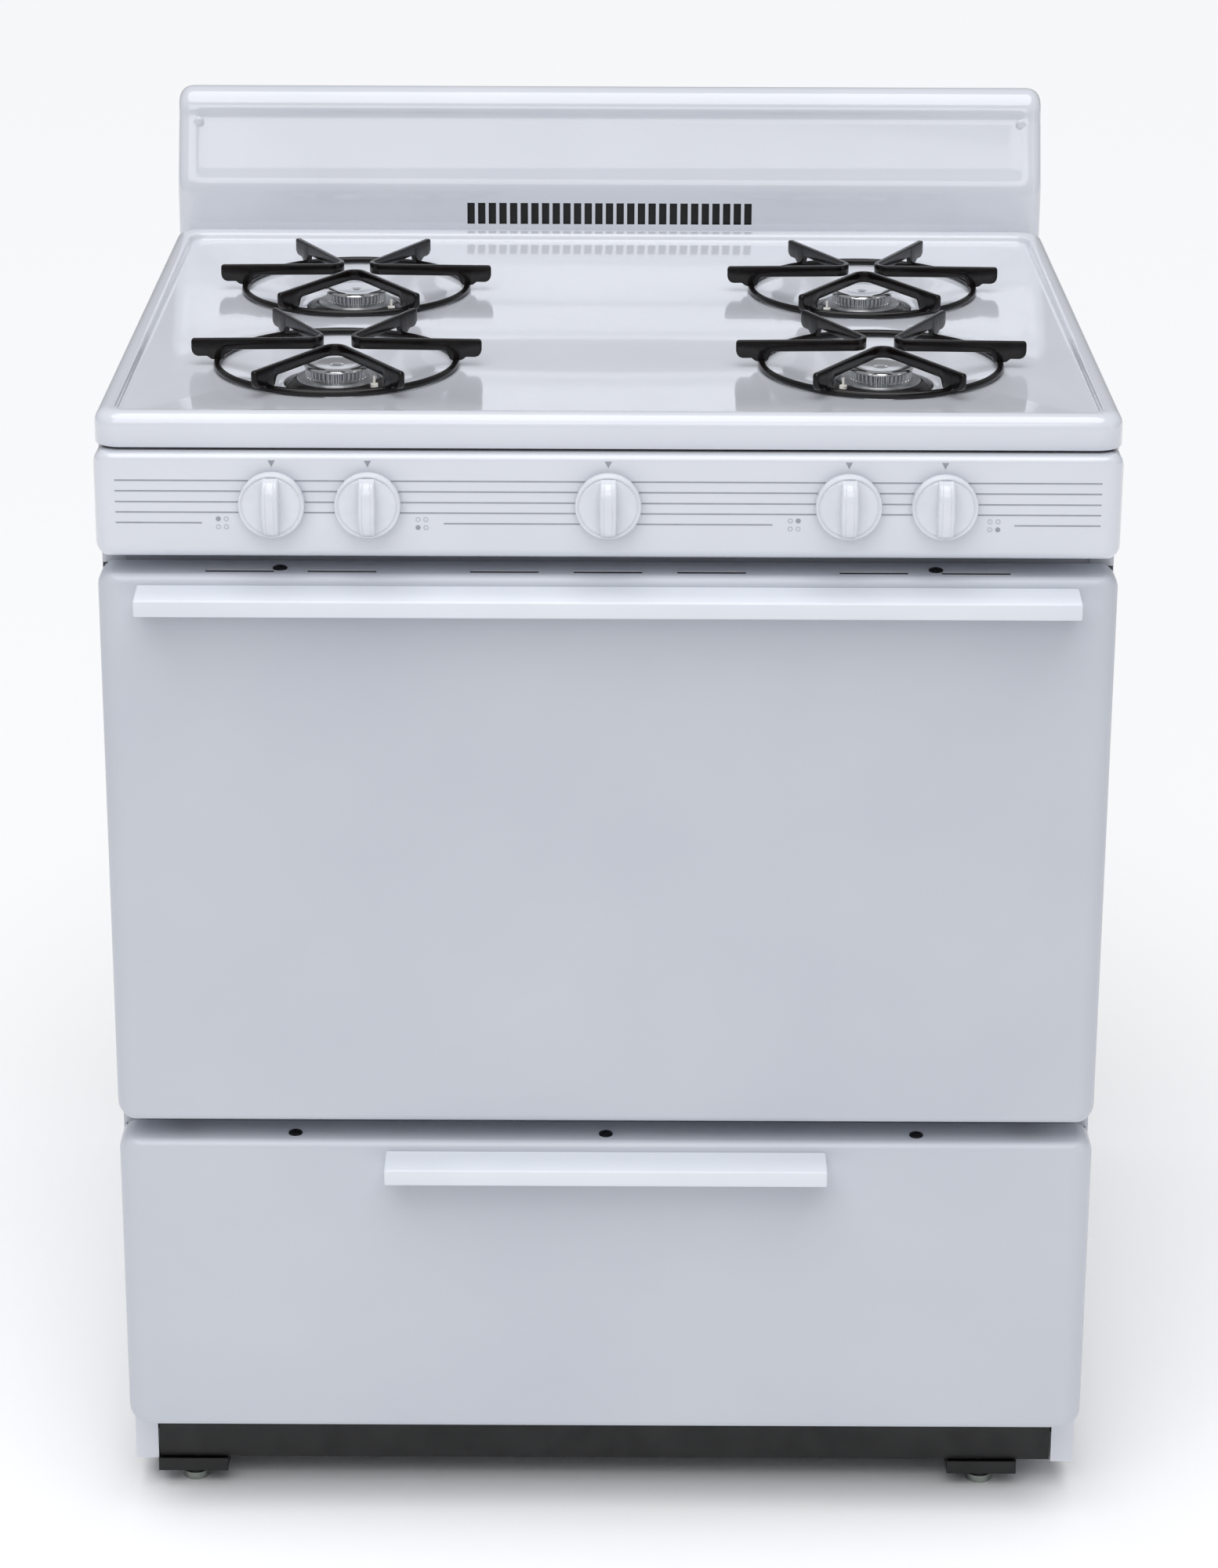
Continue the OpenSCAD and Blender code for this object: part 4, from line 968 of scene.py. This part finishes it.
for i, (cx, cy) in enumerate(burnerCentres, 1):
    baseZ = topHigh.z - cooktopLook["recess"] * mm
    wire = grateLook["wire"]
    parts = [ringWire(f"grateRing{i}", cx, cy, baseZ + (0.3 + wire) * mm, grateLook["ring"], wire)]
    parts += [fingerStrip(f"grateFinger{i}{k}", cx, cy, baseZ, a) for k, a in enumerate((-90, 30, 150))]
    finishPiece(joinAll(f"grateFrame{i}", parts), f"grate_{i}_body", blackPorcelain,
                [f"grate_{i}"])
print("grates made")


# broiler pan's rim

panLow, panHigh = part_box("broiler_pan")
panLook = {"wire": 2.2, "reach": 2.4, "corner": 14}
rim = []
for a in range(0, 360, 30):
    out = (panLook["reach"] + panLook["wire"] * math.cos(math.radians(a))) * mm
    z = panHigh.z - (panLook["wire"] - panLook["wire"] * math.sin(math.radians(a))) * mm
    outline = roundRect(panLow.x - out, panHigh.x + out, panLow.y - out, panHigh.y + out,
                        panLook["corner"] * mm, 6)
    rim.append([(x, y, z) for x, y in outline])
finishPiece(loft("panRim", rim + [rim[0]], False, False), "broiler_drawer", blackPorcelain)


# screws

screwLook = {"radius": 5.5, "head": 2.0, "recess": 1.2, "slot": 1.3, "slotReach": 2.8}


def screwHeads(name, places, body, node):
    r, h = screwLook["radius"], screwLook["head"]
    heads = []
    for k, (x, y, z) in enumerate(places):
        outline = [(0, 0), (r - 0.2, 0), (r, 0.3), (r - 0.2, h * 0.55),
                   (r - 1.2, h * 0.86), (r - 3, h), (0, h)]
        head = lathe(f"{name}{k}", [(a * mm, b * mm) for a, b in outline], (x, y, z), steps=40)
        reach, half = screwLook["slotReach"] * mm, screwLook["slot"] / 2 * mm
        low, high = z + (h - screwLook["recess"]) * mm, z + (h + 1) * mm
        cross = boxMesh("cross", [((x - reach, y - half, low), (x + reach, y + half, high))])
        other = boxMesh("crossOther", [((x - half, y - reach, low), (x + half, y + reach, high))])
        heads.append(cutWith(cutWith(head, cross), other))
    finishPiece(joinAll(name, heads), body, blackOxide, [node])


def screwPlaces(node, xs):
    low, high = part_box(node)
    return [(x * mm, (low.y + high.y) / 2, low.z) for x in xs]


screwHeads("doorScrewHeads", screwPlaces("door_screws", (-244, 244)), "oven_door", "door_screws")
screwHeads("drawerScrewHeads", screwPlaces("drawer_screws", (-242, 0, 242)), "broiler_drawer",
           "drawer_screws")
print("screws made")


# printed marks on the control panel

markLook = {"proud": 0.15, "sunk": 0.2, "line": 1.1, "lines": (16.4, 8.3, 0, -8, -16.1),
            "reach": 362.5, "gap": (121, 299),
            "triangle": (27, 32, 2.6), "iconX": (-284, -137, 137, 284), "iconZ": (-19.2, -13.0),
            "dotPitch": 5.8, "dot": 1.9, "filled": (2, 0, 3, 1)}
knobZ = knobCentres[0][1]
front = panelLow.y


def markStrip(x0, x1, z0, z1):
    return ((x0 * mm, front - markLook["proud"] * mm, knobZ + z0 * mm),
            (x1 * mm, front + markLook["sunk"] * mm, knobZ + z1 * mm))


def markPrism(name, points):
    # flat printed shape on the panel's face, points in millimetres from the knobs' level
    depths = (front - markLook["proud"] * mm, front + markLook["sunk"] * mm)
    return loft(name, [[(x * mm, y, knobZ + z * mm) for x, z in points] for y in depths])


lineHalf = markLook["line"] / 2
reach = markLook["reach"]
strips = []
for z in markLook["lines"][:-1]:
    strips.append(markStrip(-reach, reach, z - lineHalf, z + lineHalf))
z = markLook["lines"][-1]
near, far = markLook["gap"]
for x0, x1 in ((-reach, -far), (-near, near), (far, reach)):
    strips.append(markStrip(x0, x1, z - lineHalf, z + lineHalf))
finishPiece(boxMesh("panelLines", strips), "root", greyInk)

lowZ, highZ, halfWidth = markLook["triangle"]
pointers = [markPrism(f"pointer{i}",
                      [(x / mm - halfWidth, highZ), (x / mm + halfWidth, highZ), (x / mm, lowZ)])
            for i, (x, _) in enumerate(knobCentres)]
finishPiece(joinAll("knobPointers", pointers), "root", greyInk)


def dotShape(name, cx, cz, filled):
    r = markLook["dot"]
    outer = [(cx + r * math.cos(2 * math.pi * k / 24), cz + r * math.sin(2 * math.pi * k / 24))
             for k in range(24)]
    if filled:
        return markPrism(name, outer)
    inner = [(cx + 0.62 * (x - cx), cz + 0.62 * (z - cz)) for x, z in outer]
    low, high = front - markLook["proud"] * mm, front + markLook["sunk"] * mm
    rings = [[(x * mm, y, knobZ + z * mm) for x, z in points]
             for points, y in ((outer, high), (outer, low), (inner, low), (inner, high), (outer, high))]
    return loft(name, rings, False, False)


filledDots = []
openDots = []
for x, filled in zip(markLook["iconX"], markLook["filled"]):
    for k in range(4):
        cx = x + (k % 2 - 0.5) * markLook["dotPitch"]
        isFilled = k == filled
        dot = dotShape(f"dot{k}", cx, markLook["iconZ"][k // 2], isFilled)
        (filledDots if isFilled else openDots).append(dot)
finishPiece(joinAll("burnerIconDots", filledDots), "root", greyInk)
finishPiece(joinAll("burnerIconRings", openDots), "root", paleInk)
print("panel marks made")
